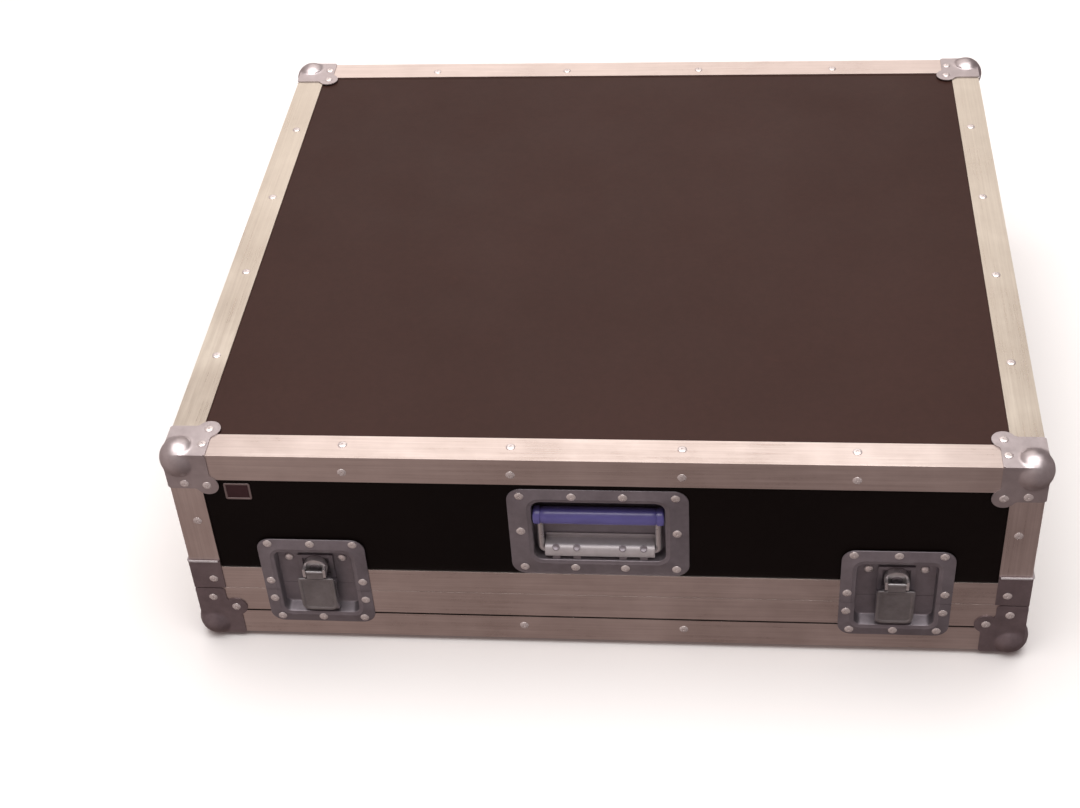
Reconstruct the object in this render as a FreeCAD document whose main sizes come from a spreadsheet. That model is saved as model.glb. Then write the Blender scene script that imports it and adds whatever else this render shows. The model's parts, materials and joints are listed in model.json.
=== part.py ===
import FreeCAD, Part
import os
import re

import Sketcher
from FreeCAD import Placement, Rotation, Vector

# A low flight case: a shallow base and a deep hinged lid of laminated plywood,
# held in aluminium edging.  Millimetres, X to the right, Y to the back, Z up.
# The origin is on the floor, under the middle of the edging.

DIMENSIONS = (
    ("CaseWidth", 795), ("CaseDepth", 703), ("CaseHeight", 235),
    ("FootStand", 7), ("SplitHeight", 62), ("SplitGap", 0.3),
    # edging extrusions
    ("LegWidth", 30), ("Skin", 1.5), ("Channel", 9.3), ("Fin", 1.2), ("FinLength", 22),
    ("EndTrim", 14), ("RimSkin", 28), ("BaseSkin", 30), ("RimBlock", 8), ("TongueDrop", 3.5),
    ("GrooveStart", 4), ("GrooveEnd", 8), ("GrooveDepth", 5), ("TonguePlay", 0.8),
    # panels and lining
    ("PanelThick", 9), ("Fit", 0.3), ("FoamInset", 12.6), ("FoamThick", 10), ("FoamFloor", 15),
    ("FoamGap", 0.2), ("FoamEdge", 2), ("PocketPlay", 1),
    # ball corners and braces
    ("BallRadius", 18.5), ("BallWall", 1.5), ("BallInset", 11.5), ("BallRoom", 8),
    ("CornerLeg", 40), ("BaseLeg", 58), ("CornerStrip", 28), ("CornerPlate", 1.2),
    ("LobeCentre", 36), ("LobeRadius", 11), ("BraceTop", 100),
    # rivets
    ("RivetHead", 4.3), ("RivetRise", 1.1), ("DomeAside", 2.67), ("DomeRise", 0.75),
    ("RivetShank", 2.3), ("RivetGrip", 12.2),
    ("RivetHole", 2.6), ("EdgeRivetInset", 18), ("LegRivet", 34), ("BaseLegRivet", 49),
    ("LegRivetAside", 15),
    ("PostRivetHeight", 152), ("BraceRivetHeight", 75), ("BraceRivetAside", 20),
    # recessed handle
    ("HandleWidth", 167), ("HandleBottom", 90.5), ("HandleTop", 199), ("HandleCorner", 14),
    ("WellWidth", 123), ("WellBottom", 109), ("WellTop", 183), ("WellDepth", 16.3),
    ("WellCorner", 9), ("PlateInset", 0.3), ("Sheet", 1.2), ("HandleDeep", 7.4),
    ("BailHeight", 118), ("BailReach", 43), ("BailHalf", 55), ("BailRod", 3.2),
    ("BailBend", 4), ("BailTopBend", 8), ("BailGap", 2), ("GripRadius", 8.6), ("GripHalf", 60.8),
    ("GripRound", 2.5),
    ("HoodHalf", 51.4), ("HoodRadius", 7.4), ("HoodWall", 1.2), ("HoodBore", 3.28),
    ("HoodTab", 5), ("SpringIn", 4), ("SpringOut", 5.9), ("SpringNear", 14), ("SpringFar", 38),
    ("HandleRowTop", 190.5), ("HandleRowLow", 99.5), ("HandleRivetFar", 71.5),
    ("HandleRivetNear", 23.5), ("HandleRivetSide", 72.5), ("HandleRivetMiddle", 146),
    ("CutoutPlay", 0.8),
    # recessed butterfly latches
    ("LatchOffset", 275.5), ("LatchHalf", 52), ("LatchTop", 130), ("LatchBottom", 18.5),
    ("LatchCorner", 13), ("LatchPlate", 1.2), ("RecessHalf", 37), ("RecessTop", 113),
    ("RecessBottom", 32), ("RecessDepth", 9.6), ("RecessSheet", 1.1), ("RecessCorner", 7),
    ("RecessPlay", 0.2), ("LatchRowTop", 124.5), ("LatchRowLow", 25), ("LatchRivetAlong", 41),
    ("LatchRivetSide", 45), ("LatchRivetUpper", 74.5), ("LatchRivetLower", 50),
    ("RotorHeight", 89), ("PostRadius", 4), ("PostBore", 4.05), ("HubRadius", 11.5),
    ("PostHead", 1.6), ("PostHeadThick", 0.8), ("PostHeadSink", 0.1),
    ("HubFront", 1.2), ("HubBack", 7.2), ("CamRadius", 10), ("CamThrow", 2.5),
    ("LugInner", 8.5), ("LugThick", 2.6), ("LugHalf", 5),
    ("LugReach", 2), ("LugRoot", 0.5),
    ("DrawFront", 7.5), ("DrawBack", 9.2), ("CamPlay", 0.75), ("WindowPlay", 0.4), ("DrawHalf", 17),
    ("DrawRim", 4), ("DrawFoot", 2.5), ("TrunnionDeep", 6.2), ("TrunnionHeight", 68.5),
    ("TrunnionRadius", 1.3), ("YokeHalf", 12), ("YokeFront", 5), ("YokeLow", 2), ("YokeHigh", 3),
    ("HookHalf", 17.5), ("HookFront", 2), ("HookBack", 3.6), ("HookDrop", 32.8),
    ("HookLip", 6.6), ("HookLipThick", 2), ("HookRise", 3), ("HookArmIn", 12.6), ("HookEye", 2.6),
    ("HookTilt", 5), ("KeeperHalf", 16), ("KeeperFront", 5), ("KeeperLow", 43), ("KeeperHigh", 46),
    ("WingDeep", 3.6), ("WingThick", 2), ("WingLength", 51), ("WingHalf", 17.5), ("WingPin", 1),
    ("WingShoulder", 8), ("WingCorner", 7), ("NeckHalf", 8.2), ("BarrelRadius", 1.9),
    # back hinges
    ("HingeOffset", 220), ("HingeHalf", 32), ("HingeAxis", 5.5), ("KnuckleRadius", 4.2),
    ("HingePin", 2), ("LeafThick", 1.5), ("LeafHigh", 34), ("KnuckleHalf", 12),
    ("KnuckleGap", 0.2), ("KnuckleRelief", 0.5), ("PinPlay", 0.05), ("HingeRivetAside", 22),
    ("LidRivetNear", 14), ("LidRivetFar", 27), ("BaseRivetNear", 12), ("BaseRivetFar", 25),
    # identification plate
    ("TagCentre", 334.5), ("TagHalf", 12.5), ("TagLow", 180), ("TagHigh", 200), ("TagThick", 0.8),
    ("TagCorner", 2),
    # how far a cutting tool runs past what it cuts
    ("Over", 2),
)

doc = FreeCAD.newDocument("FlightCase")
sheet = doc.addObject("Spreadsheet::Sheet", "Dims")
for row, (alias, number) in enumerate(DIMENSIONS, start=1):
    sheet.set(f"A{row}", alias)
    sheet.set(f"B{row}", str(number))
    sheet.setAlias(f"B{row}", alias)
doc.recompute()

SUB_PARTS = []


def size(expression):
    """The value of a size written in the sheet's words."""
    return float(sheet.evalExpression(str(expression)))


def linked(expression):
    """The same size as a binding that another object can follow."""
    return re.sub(r"[A-Z][A-Za-z]+", lambda word: "Dims." + word.group(), str(expression))


def deep(depth):
    """Y of a point a given depth behind the front face of the edging."""
    return f"-CaseDepth/2 + ({depth})"


def up(height):
    """Z of a point a given height above the underside of the edging."""
    return f"FootStand + ({height})"


def place(solid, spot, rotation=None):
    """Turn an object, and bind its position to the sheet."""
    solid.Placement = Placement(Vector(), rotation or Rotation())
    for axis, expression in zip("xyz", spot):
        solid.setExpression(f"Placement.Base.{axis}", linked(expression))
    return solid


def keep(solid, label):
    """Name a finished sub-part."""
    solid.Label = label
    SUB_PARTS.append(solid)
    return solid


# ------------------------------------------------------------------ solids

def box(name, low, high):
    """A block between two corners."""
    solid = doc.addObject("Part::Box", name)
    for side, start, end in zip(("Length", "Width", "Height"), low, high):
        solid.setExpression(side, linked(f"({end}) - ({start})"))
    return place(solid, low)


TOWARDS = {"x": Rotation(Vector(0, 1, 0), 90), "y": Rotation(Vector(1, 0, 0), -90), "z": Rotation()}


def rod(name, axis, radius, length, spot):
    """A cylinder that starts at a spot and runs along +X, +Y or +Z."""
    solid = doc.addObject("Part::Cylinder", name)
    solid.setExpression("Radius", linked(radius))
    solid.setExpression("Height", linked(length))
    return place(solid, spot, TOWARDS[axis])


def join(name, parts):
    solid = doc.addObject("Part::MultiFuse", name)
    solid.Shapes = parts
    return solid


def cut(name, base, tool):
    solid = doc.addObject("Part::Cut", name)
    solid.Base = base
    solid.Tool = tool
    return solid


def group(name, parts):
    """Separate solids that share one node."""
    solid = doc.addObject("Part::Compound", name)
    solid.Links = parts
    return solid


def rounded(name, base, radius, picks):
    """Round the edges of a solid for which picks(edge) is true."""
    doc.recompute()
    value = size(radius)
    solid = doc.addObject("Part::Fillet", name)
    solid.Base = base
    solid.Edges = [(number, value, value)
                   for number, edge in enumerate(base.Shape.Edges, start=1) if picks(edge)]
    return solid


def runs_along(edge, axis):
    """True for a straight edge along X, Y or Z."""
    across = [name for name in "xyz" if name != axis]
    first, last = edge.Vertexes[0].Point, edge.Vertexes[-1].Point
    still = all(abs(getattr(first, name) - getattr(last, name)) < 1e-6 for name in across)
    return still and len(edge.Vertexes) == 2 and isinstance(edge.Curve, Part.Line)


def upright_slab(name, half, low, high, front, back, radius, corners, centre="0"):
    """A block facing the front, with its upper, lower or all corners rounded."""
    block = box(name + "Block", (f"{centre} - {half}", front, low), (f"{centre} + {half}", back, high))
    middle = (size(low) + size(high)) / 2

    def corner_edge(edge):
        upper = edge.Vertexes[0].Point.z > middle
        wanted = corners == "all" or upper == (corners == "upper")
        return runs_along(edge, "y") and wanted
    return rounded(name, block, radius, corner_edge)


# ---------------------------------------------------------- sketched bodies

def new_body(name):
    return doc.addObject("PartDesign::Body", name)


def sketch_on(body, role, name):
    """A sketch on one of the body's own origin planes."""
    sketch = body.newObject("Sketcher::SketchObject", name)
    plane = next(item for item in body.Origin.OriginFeatures if item.Role == role)
    sketch.AttachmentSupport = [(plane, "")]
    sketch.MapMode = "FlatFace"
    return sketch


def pin_point(sketch, geometry, end, spot):
    """Hold a point of a sketch at a spot given in the sheet's words."""
    for kind, expression in zip(("DistanceX", "DistanceY"), spot):
        rule = Sketcher.Constraint(kind, -1, 1, geometry, end, size(expression))
        number = sketch.addConstraint(rule)
        sketch.setExpression(f"Constraints[{number}]", linked(expression))


def outline(sketch, corners):
    """A closed outline with straight sides."""
    first = sketch.GeometryCount
    points = [Vector(size(x), size(y), 0) for x, y in corners]
    count = len(points)
    for number in range(count):
        line = Part.LineSegment(points[number], points[(number + 1) % count])
        sketch.addGeometry(line, False)
    for number in range(count):
        after = first + (number + 1) % count
        sketch.addConstraint(Sketcher.Constraint("Coincident", first + number, 2, after, 1))
    for number, spot in enumerate(corners):
        pin_point(sketch, first + number, 1, spot)


def pad(body, sketch, length, both_ways=False):
    feature = body.newObject("PartDesign::Pad", body.Name + "Pad")
    feature.Profile = sketch
    feature.SideType = "Symmetric" if both_ways else "One side"
    feature.setExpression("Length", linked(length))
    return feature


SIDES = {
    # turn about Z, length of the run, middle of the outer face
    "front": (0, "CaseWidth", ("0", "-CaseDepth/2")),
    "right": (90, "CaseDepth", ("CaseWidth/2", "0")),
    "back": (180, "CaseWidth", ("0", "CaseDepth/2")),
    "left": (270, "CaseDepth", ("-CaseWidth/2", "0")),
}
CHANNEL_END = "Skin + Channel"
FIN_END = "Skin + Channel + Fin"

# Two crossed legs stand behind the outer angle and make a channel for each panel.
ANGLE_OUTLINE = (
    ("0", "0"), ("LegWidth", "0"), ("LegWidth", "Skin"), (FIN_END, "Skin"),
    (FIN_END, CHANNEL_END), ("FinLength", CHANNEL_END), ("FinLength", FIN_END),
    (FIN_END, FIN_END), (FIN_END, "FinLength"), (CHANNEL_END, "FinLength"),
    (CHANNEL_END, FIN_END), ("Skin", FIN_END), ("Skin", "LegWidth"), ("0", "LegWidth"),
)
ANGLE_CORE = (("Skin", "Skin"), (CHANNEL_END, "Skin"), (CHANNEL_END, CHANNEL_END),
              ("Skin", CHANNEL_END))

BLOCK_LOW = "BaseSkin - RimBlock"
BASE_RIM_OUTLINE = (
    ("0", "0"), ("Skin", "0"), ("Skin", BLOCK_LOW), (CHANNEL_END, BLOCK_LOW),
    (CHANNEL_END, "BaseSkin - FinLength"), (FIN_END, "BaseSkin - FinLength"),
    (FIN_END, "BaseSkin"), ("GrooveEnd", "BaseSkin"), ("GrooveEnd", "BaseSkin - GrooveDepth"),
    ("GrooveStart", "BaseSkin - GrooveDepth"), ("GrooveStart", "BaseSkin"), ("0", "BaseSkin"),
)
LID_RIM_OUTLINE = (
    ("0", "TongueDrop"), ("GrooveStart + TonguePlay", "TongueDrop"),
    ("GrooveStart + 1.5*TonguePlay", "0"), ("GrooveEnd - 1.5*TonguePlay", "0"),
    ("GrooveEnd - TonguePlay", "TongueDrop"), (FIN_END, "TongueDrop"),
    (FIN_END, "TongueDrop + FinLength"), (CHANNEL_END, "TongueDrop + FinLength"),
    (CHANNEL_END, "TongueDrop + RimBlock"), ("Skin", "TongueDrop + RimBlock"),
    ("Skin", "TongueDrop + RimSkin"), ("0", "TongueDrop + RimSkin"),
)


def mitre(body, length, plane, trim):
    """Cut both ends of a run to 45 degrees, and square where a ball corner sits."""
    deepest = "(LegWidth + Over)"
    cutter = sketch_on(body, plane, body.Name + "Ends")
    for way in ("", "-"):
        ring = [(f"{length}/2 - {deepest}", deepest), (f"{length}/2 + Over", deepest),
                (f"{length}/2 + Over", "-Over")]
        if trim != "0":
            ring += [(f"{length}/2 - {trim}", "-Over"), (f"{length}/2 - {trim}", trim)]
        outline(cutter, [(f"{way}({x})", y) for x, y in ring])
    pocket = body.newObject("PartDesign::Pocket", body.Name + "Mitre")
    pocket.Profile = cutter
    pocket.Type = "ThroughAll"
    pocket.SideType = "Symmetric"


def mitred_run(name, side, profile, core, height, roll=0, trim="0"):
    """One length of edging along a side of the case."""
    turn, length, spot = SIDES[side]
    body = new_body(name)
    section = sketch_on(body, "YZ_Plane", name + "Section")
    outline(section, profile)
    if core:
        outline(section, core)
    pad(body, section, length, both_ways=True)
    mitre(body, length, "XZ_Plane" if roll else "XY_Plane", trim)
    rotation = Rotation(Vector(0, 0, 1), turn) * Rotation(Vector(1, 0, 0), roll)
    return place(body, (*spot, height), rotation)


CORNERS = {
    # turn about Z, and the signs of X and Y
    "FrontLeft": (0, "-", "-"), "FrontRight": (90, "", "-"),
    "BackRight": (180, "", ""), "BackLeft": (270, "-", ""),
}


def corner_run(name, corner, low, high, profile, core=None):
    """A length of upright edging on one corner of the case."""
    turn, sign_x, sign_y = CORNERS[corner]
    body = new_body(name + corner)
    section = sketch_on(body, "XY_Plane", body.Name + "Section")
    outline(section, profile)
    if core:
        outline(section, core)
    pad(body, section, f"({high}) - ({low})")
    spot = (f"{sign_x}CaseWidth/2", f"{sign_y}CaseDepth/2", low)
    return place(body, spot, Rotation(Vector(0, 0, 1), turn))


# -------------------------------------------------------------------- rivets

RIVETS = {"lid": [], "base": []}


def rivet(half, spot, inward):
    """Note a rivet: where its head sits, and which way its shank points."""
    place_at = Vector(*(size(value) for value in spot))
    RIVETS[half].append((place_at, Vector(*inward)))


def front_rivets(half, spots, depth):
    for x, z in spots:
        rivet(half, (x, deep(depth), up(z)), (0, 1, 0))


def domed_rivet():
    """A low dome, an arc in section, on a plain shank."""
    head, rise, shank = size("RivetHead"), size("RivetRise"), size("RivetShank")
    halfway = Vector(size("DomeAside"), 0, -size("DomeRise"))
    dome = Part.Arc(Vector(0, 0, -rise), halfway, Vector(head, 0, 0))
    rest = Part.makePolygon([Vector(head, 0, 0), Vector(shank, 0, 0),
                             Vector(shank, 0, size("RivetGrip")),
                             Vector(0, 0, size("RivetGrip")), Vector(0, 0, -rise)])
    face = Part.Face(Part.Wire([dome.toShape(), *rest.Edges]))
    return face.revolve(Vector(), Vector(0, 0, 1), 360)


def lay_copies(shape, seats):
    """Copies of a shape, its +Z turned to each direction."""
    copies = []
    for spot, inward in seats:
        copy = shape.copy()
        copy.Placement = Placement(spot, Rotation(Vector(0, 0, 1), inward))
        copies.append(copy)
    return Part.makeCompound(copies)


def drill(solid, half):
    """Cut the holes of every rivet that passes through a solid."""
    doc.recompute()
    radius, over = size("RivetHole"), size("Over")
    reach = size("RivetGrip + Over")
    bounds = solid.Shape.BoundBox
    seats = []
    for spot, inward in RIVETS[half]:
        path = FreeCAD.BoundBox(spot, spot)
        path.add(spot + inward * size("RivetGrip"))
        path.enlarge(size("RivetShank"))
        if bounds.intersect(path):
            seats.append((spot - inward * over, inward))
    if not seats:
        return solid
    holes = doc.addObject("Part::Feature", solid.Name + "Holes")
    holes.Shape = lay_copies(Part.makeCylinder(radius, reach), seats)
    return cut(solid.Name + "Drilled", solid, holes)


def keep_drilled(solid, half, label):
    return keep(drill(solid, half), label)


# ---------------------------------------------------------- rivet positions

LATCH_SIDES = {"left": "-LatchOffset", "right": "LatchOffset"}
EDGE_FRACTIONS = (-0.2925, -0.0975, 0.0975, 0.2925)
FRONT_BASE_FRACTIONS = EDGE_FRACTIONS[1:3]


def list_rivets():
    half_width, half_depth = size("CaseWidth/2"), size("CaseDepth/2")
    low, high = size("FootStand"), size("FootStand + CaseHeight")
    plate, inset = size("CornerPlate"), size("EdgeRivetInset")
    lobe, aside = size("LobeCentre"), size("LegRivetAside")

    # ball corners: one rivet in each lobe, one in each leg
    for half, level, rise, upright in (("base", low, 1, "BaseLegRivet"), ("lid", high, -1, "LegRivet")):
        for turn_x in (-1, 1):
            for turn_y in (-1, 1):
                inward = (-turn_x, -turn_y, rise)
                corner = (turn_x * half_width, turn_y * half_depth, level)
                for face, leg in enumerate(("LegRivet", upright, "LegRivet")):
                    along, across = (face + 1) % 3, (face + 2) % 3
                    for first, second in ((lobe, lobe), (size(leg), aside)):
                        spot = list(corner)
                        spot[face] -= inward[face] * plate
                        spot[along] += inward[along] * first
                        spot[across] += inward[across] * second
                        way = [0, 0, 0]
                        way[face] = inward[face]
                        rivet(half, spot, way)

    # long edges, on both faces of the angle
    for side, (turn, length, _) in SIDES.items():
        outward = Rotation(Vector(0, 0, 1), turn).multVec(Vector(0, -1, 0))
        along = Rotation(Vector(0, 0, 1), turn).multVec(Vector(1, 0, 0))
        reach = half_depth if side in ("front", "back") else half_width
        for fraction in EDGE_FRACTIONS:
            middle = along * (fraction * size(length))
            face_spot = middle + outward * reach
            plan_spot = middle + outward * (reach - inset)
            rivet("lid", (*face_spot[:2], high - inset), -outward)
            rivet("lid", (*plan_spot[:2], high), (0, 0, -1))
            rivet("base", (*plan_spot[:2], low), (0, 0, 1))
            if side != "front" or fraction in FRONT_BASE_FRACTIONS:
                rivet("base", (*face_spot[:2], low + inset), -outward)

    # upright edging and lid braces, one on each face
    for turn_x in (-1, 1):
        for turn_y in (-1, 1):
            for height, depth, aside in (("PostRivetHeight", 0, inset),
                                         ("BraceRivetHeight", plate, size("BraceRivetAside"))):
                level = size(up(height))
                x_near, y_near = turn_x * (half_width - aside), turn_y * (half_depth - aside)
                rivet("lid", (x_near, turn_y * (half_depth + depth), level), (0, -turn_y, 0))
                rivet("lid", (turn_x * (half_width + depth), y_near, level), (-turn_x, 0, 0))

    # latches, handle and hinges
    for centre in LATCH_SIDES.values():
        row = [centre, *(f"{centre} {sign} LatchRivetAlong" for sign in "-+")]
        sides = [f"{centre} {sign} LatchRivetSide" for sign in "-+"]
        upper = [(x, "LatchRowTop") for x in row] + [(x, "LatchRivetUpper") for x in sides]
        lower = [(x, "LatchRowLow") for x in row] + [(x, "LatchRivetLower") for x in sides]
        front_rivets("lid", upper, "-LatchPlate")
        front_rivets("base", lower, "-LatchPlate")
    for sign in ("-", ""):
        columns = [f"{sign}HandleRivetFar", f"{sign}HandleRivetNear"]
        rows = [(x, z) for z in ("HandleRowTop", "HandleRowLow") for x in columns]
        front_rivets("lid", [*rows, (f"{sign}HandleRivetSide", "HandleRivetMiddle")], "PlateInset")
    for way in ("-HingeOffset", "HingeOffset"):
        for aside in ("-HingeRivetAside", "HingeRivetAside"):
            for half, heights in (("lid", ("SplitHeight + LidRivetNear", "SplitHeight + LidRivetFar")),
                                  ("base", ("SplitHeight - BaseRivetNear",
                                            "SplitHeight - BaseRivetFar"))):
                for height in heights:
                    spot = (f"{way} + {aside}", "CaseDepth/2 + LeafThick", up(height))
                    rivet(half, spot, (0, -1, 0))


# -------------------------------------------------------------- case halves

PANEL_EDGE = f"({FIN_END} + Fit)"
ACROSS = f"(CaseWidth/2 - {PANEL_EDGE})"
ALONG = f"(CaseDepth/2 - {PANEL_EDGE})"
TOP = "(FootStand + CaseHeight)"
LID_PANEL_LOW = "(FootStand + SplitHeight + SplitGap + RimBlock + Fit)"
LID_PANEL_HIGH = f"({TOP} - {PANEL_EDGE})"
BASE_PANEL_LOW = f"(FootStand + {PANEL_EDGE})"
BASE_PANEL_HIGH = "(FootStand + SplitHeight - RimBlock - Fit)"
NOTCH_LOW = "RecessBottom - RecessSheet - RecessPlay"
NOTCH_HIGH = "RecessTop + RecessSheet + RecessPlay"


def wall_panel(name, side, low, high):
    """One upright panel, between the channels of its edging."""
    near, far = "Skin", "(Skin + PanelThick)"
    spans = {
        "front": ((f"-{ACROSS}", f"-CaseDepth/2 + {near}"), (ACROSS, f"-CaseDepth/2 + {far}")),
        "back": ((f"-{ACROSS}", f"CaseDepth/2 - {far}"), (ACROSS, f"CaseDepth/2 - {near}")),
        "left": ((f"-CaseWidth/2 + {near}", f"-{ALONG}"), (f"-CaseWidth/2 + {far}", ALONG)),
        "right": ((f"CaseWidth/2 - {far}", f"-{ALONG}"), (f"CaseWidth/2 - {near}", ALONG)),
    }
    start, end = spans[side]
    return box(name, (*start, low), (*end, high))


def latch_notch(name, low, high):
    """Blocks that clear both latch recesses, right through the front wall."""
    side = "(RecessHalf + RecessSheet + RecessPlay)"
    blocks = [box(name + way.title(), (f"{centre} - {side}", deep("-Over"), low),
                  (f"{centre} + {side}", deep("LegWidth"), high))
              for way, centre in LATCH_SIDES.items()]
    return group(name, blocks)


def build_panels():
    top = box("TopPanel", (f"-{ACROSS}", f"-{ALONG}", f"{TOP} - Skin - PanelThick"),
              (ACROSS, ALONG, f"{TOP} - Skin"))
    keep_drilled(top, "lid", "lid_top_panel")
    bottom = box("BottomPanel", (f"-{ACROSS}", f"-{ALONG}", up("Skin")),
                 (ACROSS, ALONG, up("Skin + PanelThick")))
    keep_drilled(bottom, "base", "base_bottom_panel")
    for side in SIDES:
        lid = wall_panel(f"Lid{side}Panel", side, LID_PANEL_LOW, LID_PANEL_HIGH)
        base = wall_panel(f"Base{side}Panel", side, BASE_PANEL_LOW, BASE_PANEL_HIGH)
        if side == "front":
            well = box("HandleCutout", ("-WellWidth/2 - Sheet - CutoutPlay", deep("0"),
                                        up("WellBottom - Sheet - CutoutPlay")),
                       ("WellWidth/2 + Sheet + CutoutPlay", deep("LegWidth"),
                        up("WellTop + Sheet + CutoutPlay")))
            notch = latch_notch("LidPanelNotch", up("SplitHeight"), up(NOTCH_HIGH))
            lid = cut("LidFrontPanelCut", lid, group("LidPanelOpenings", [well, notch]))
            notch = latch_notch("BasePanelNotch", up(NOTCH_LOW), up("SplitHeight"))
            base = cut("BaseFrontPanelCut", base, notch)
        keep_drilled(lid, "lid", f"lid_{side}_panel")
        keep_drilled(base, "base", f"base_{side}_panel")


def build_edging():
    for side in SIDES:
        top = mitred_run(f"TopEdge{side}", side, ANGLE_OUTLINE, ANGLE_CORE, TOP, -90, "EndTrim")
        keep_drilled(top, "lid", f"lid_top_edge_{side}")
        low = mitred_run(f"BottomEdge{side}", side, ANGLE_OUTLINE, ANGLE_CORE, "FootStand", 0,
                         "EndTrim")
        keep_drilled(low, "base", f"base_edge_{side}")
        lid_rim = mitred_run(f"LidRim{side}", side, LID_RIM_OUTLINE, None,
                             up("SplitHeight + SplitGap - TongueDrop"))
        base_rim = mitred_run(f"BaseRim{side}", side, BASE_RIM_OUTLINE, None,
                              up("SplitHeight - BaseSkin"))
        if side == "front":
            notch = latch_notch("RimNotch", up(NOTCH_LOW), up(NOTCH_HIGH))
            lid_rim = cut("LidRimNotched", lid_rim, notch)
            base_rim = cut("BaseRimNotched", base_rim, notch)
        keep_drilled(lid_rim, "lid", f"lid_rim_{side}")
        keep_drilled(base_rim, "base", f"base_rim_{side}")
    low, high = up("SplitHeight + SplitGap + RimSkin"), f"{TOP} - LegWidth"
    posts = [corner_run("CornerEdge", corner, low, high, ANGLE_OUTLINE, ANGLE_CORE)
             for corner in CORNERS]
    keep_drilled(group("CornerEdges", posts), "lid", "lid_corner_edges")


def corner_face(name, first, second):
    """A plate under the corner at the origin, with one leg along X and one along Y."""
    edge, lobe = "-CornerPlate", "LobeCentre"
    return join(name, [
        box(name + "First", (edge, edge, edge), (first, "CornerStrip", "0")),
        box(name + "Second", (edge, edge, edge), ("CornerStrip", second, "0")),
        box(name + "Web", (edge, edge, edge), (lobe, lobe, "0")),
        rod(name + "Lobe", "z", "LobeRadius", "CornerPlate", (lobe, lobe, edge)),
    ])


def ball_corner(half, upright):
    """A pressed fitting for the corner at the origin, with the case towards +X +Y +Z."""
    legs = (("CornerLeg", "CornerLeg"), ("CornerLeg", upright), (upright, "CornerLeg"))
    plates = [corner_face(f"{half}CornerFace{number}", *pair) for number, pair in enumerate(legs)]
    doc.recompute()
    faces = []
    for number, plate in enumerate(plates):
        face = plate.Shape.copy()
        face.Placement = Placement(Vector(), Rotation(Vector(1, 1, 1), 120 * number))
        faces.append(face)
    centre, radius, wall = size("BallInset"), size("BallRadius"), size("BallWall")
    middle = Vector(centre, centre, centre)
    # the ball shows outside the faces, and in the cube where the edging is trimmed
    margin, reach = size("BallRoom"), size("BaseLeg")
    start = Vector(-margin, -margin, -margin)
    cube = Part.makeBox(centre + margin, centre + margin, centre + margin, start)
    room = cube
    for spans in ((margin, reach, reach), (reach, margin, reach), (reach, reach, margin)):
        room = room.fuse(Part.makeBox(*spans, start))
    shell = Part.makeSphere(radius, middle).common(room)
    hollow = Part.makeSphere(radius - wall, middle)
    sheets = faces[0].multiFuse(faces[1:]).cut(cube)
    return sheets.fuse(shell).cut(hollow).removeSplitter()


def build_corner_fittings():
    flip = Rotation(Vector(1, 1, 0), 180)
    for half, level, roll, upright in (("base", "FootStand", Rotation(), "BaseLeg"),
                                       ("lid", TOP, flip, "CornerLeg")):
        fitting = ball_corner(half, upright)
        copies = []
        for turn, sign_x, sign_y in CORNERS.values():
            copy = fitting.copy()
            spot = Vector(size(f"{sign_x}CaseWidth/2"), size(f"{sign_y}CaseDepth/2"), size(level))
            copy.Placement = Placement(spot, Rotation(Vector(0, 0, 1), turn) * roll)
            copies.append(copy)
        corners = doc.addObject("Part::Feature", f"{half}BallCorners")
        corners.Shape = Part.makeCompound(copies)
        keep_drilled(corners, half, f"{half}_ball_corners")
    wide, thick = "LegWidth", "-CornerPlate"
    brace = ((thick, thick), (wide, thick), (wide, "0"), ("0", "0"), ("0", wide), (thick, wide))
    low = up("SplitHeight + SplitGap + Fit")
    braces = [corner_run("Brace", corner, low, up("BraceTop"), brace) for corner in CORNERS]
    keep_drilled(group("Braces", braces), "lid", "lid_rim_braces")


def foam_walls(name, low, high):
    """Four slabs of lining inside the upright panels."""
    out_x, out_y = "(CaseWidth/2 - FoamInset)", "(CaseDepth/2 - FoamInset)"
    in_x, in_y = f"({out_x} - FoamThick)", f"({out_y} - FoamThick)"
    return {
        "front": box(name + "Front", (f"-{out_x}", f"-{out_y}", low), (out_x, f"-{in_y}", high)),
        "back": box(name + "Back", (f"-{out_x}", in_y, low), (out_x, out_y, high)),
        "left": box(name + "Left", (f"-{out_x}", f"-{in_y} + FoamGap", low),
                    (f"-{in_x}", f"{in_y} - FoamGap", high)),
        "right": box(name + "Right", (in_x, f"-{in_y} + FoamGap", low),
                     (out_x, f"{in_y} - FoamGap", high)),
    }


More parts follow.
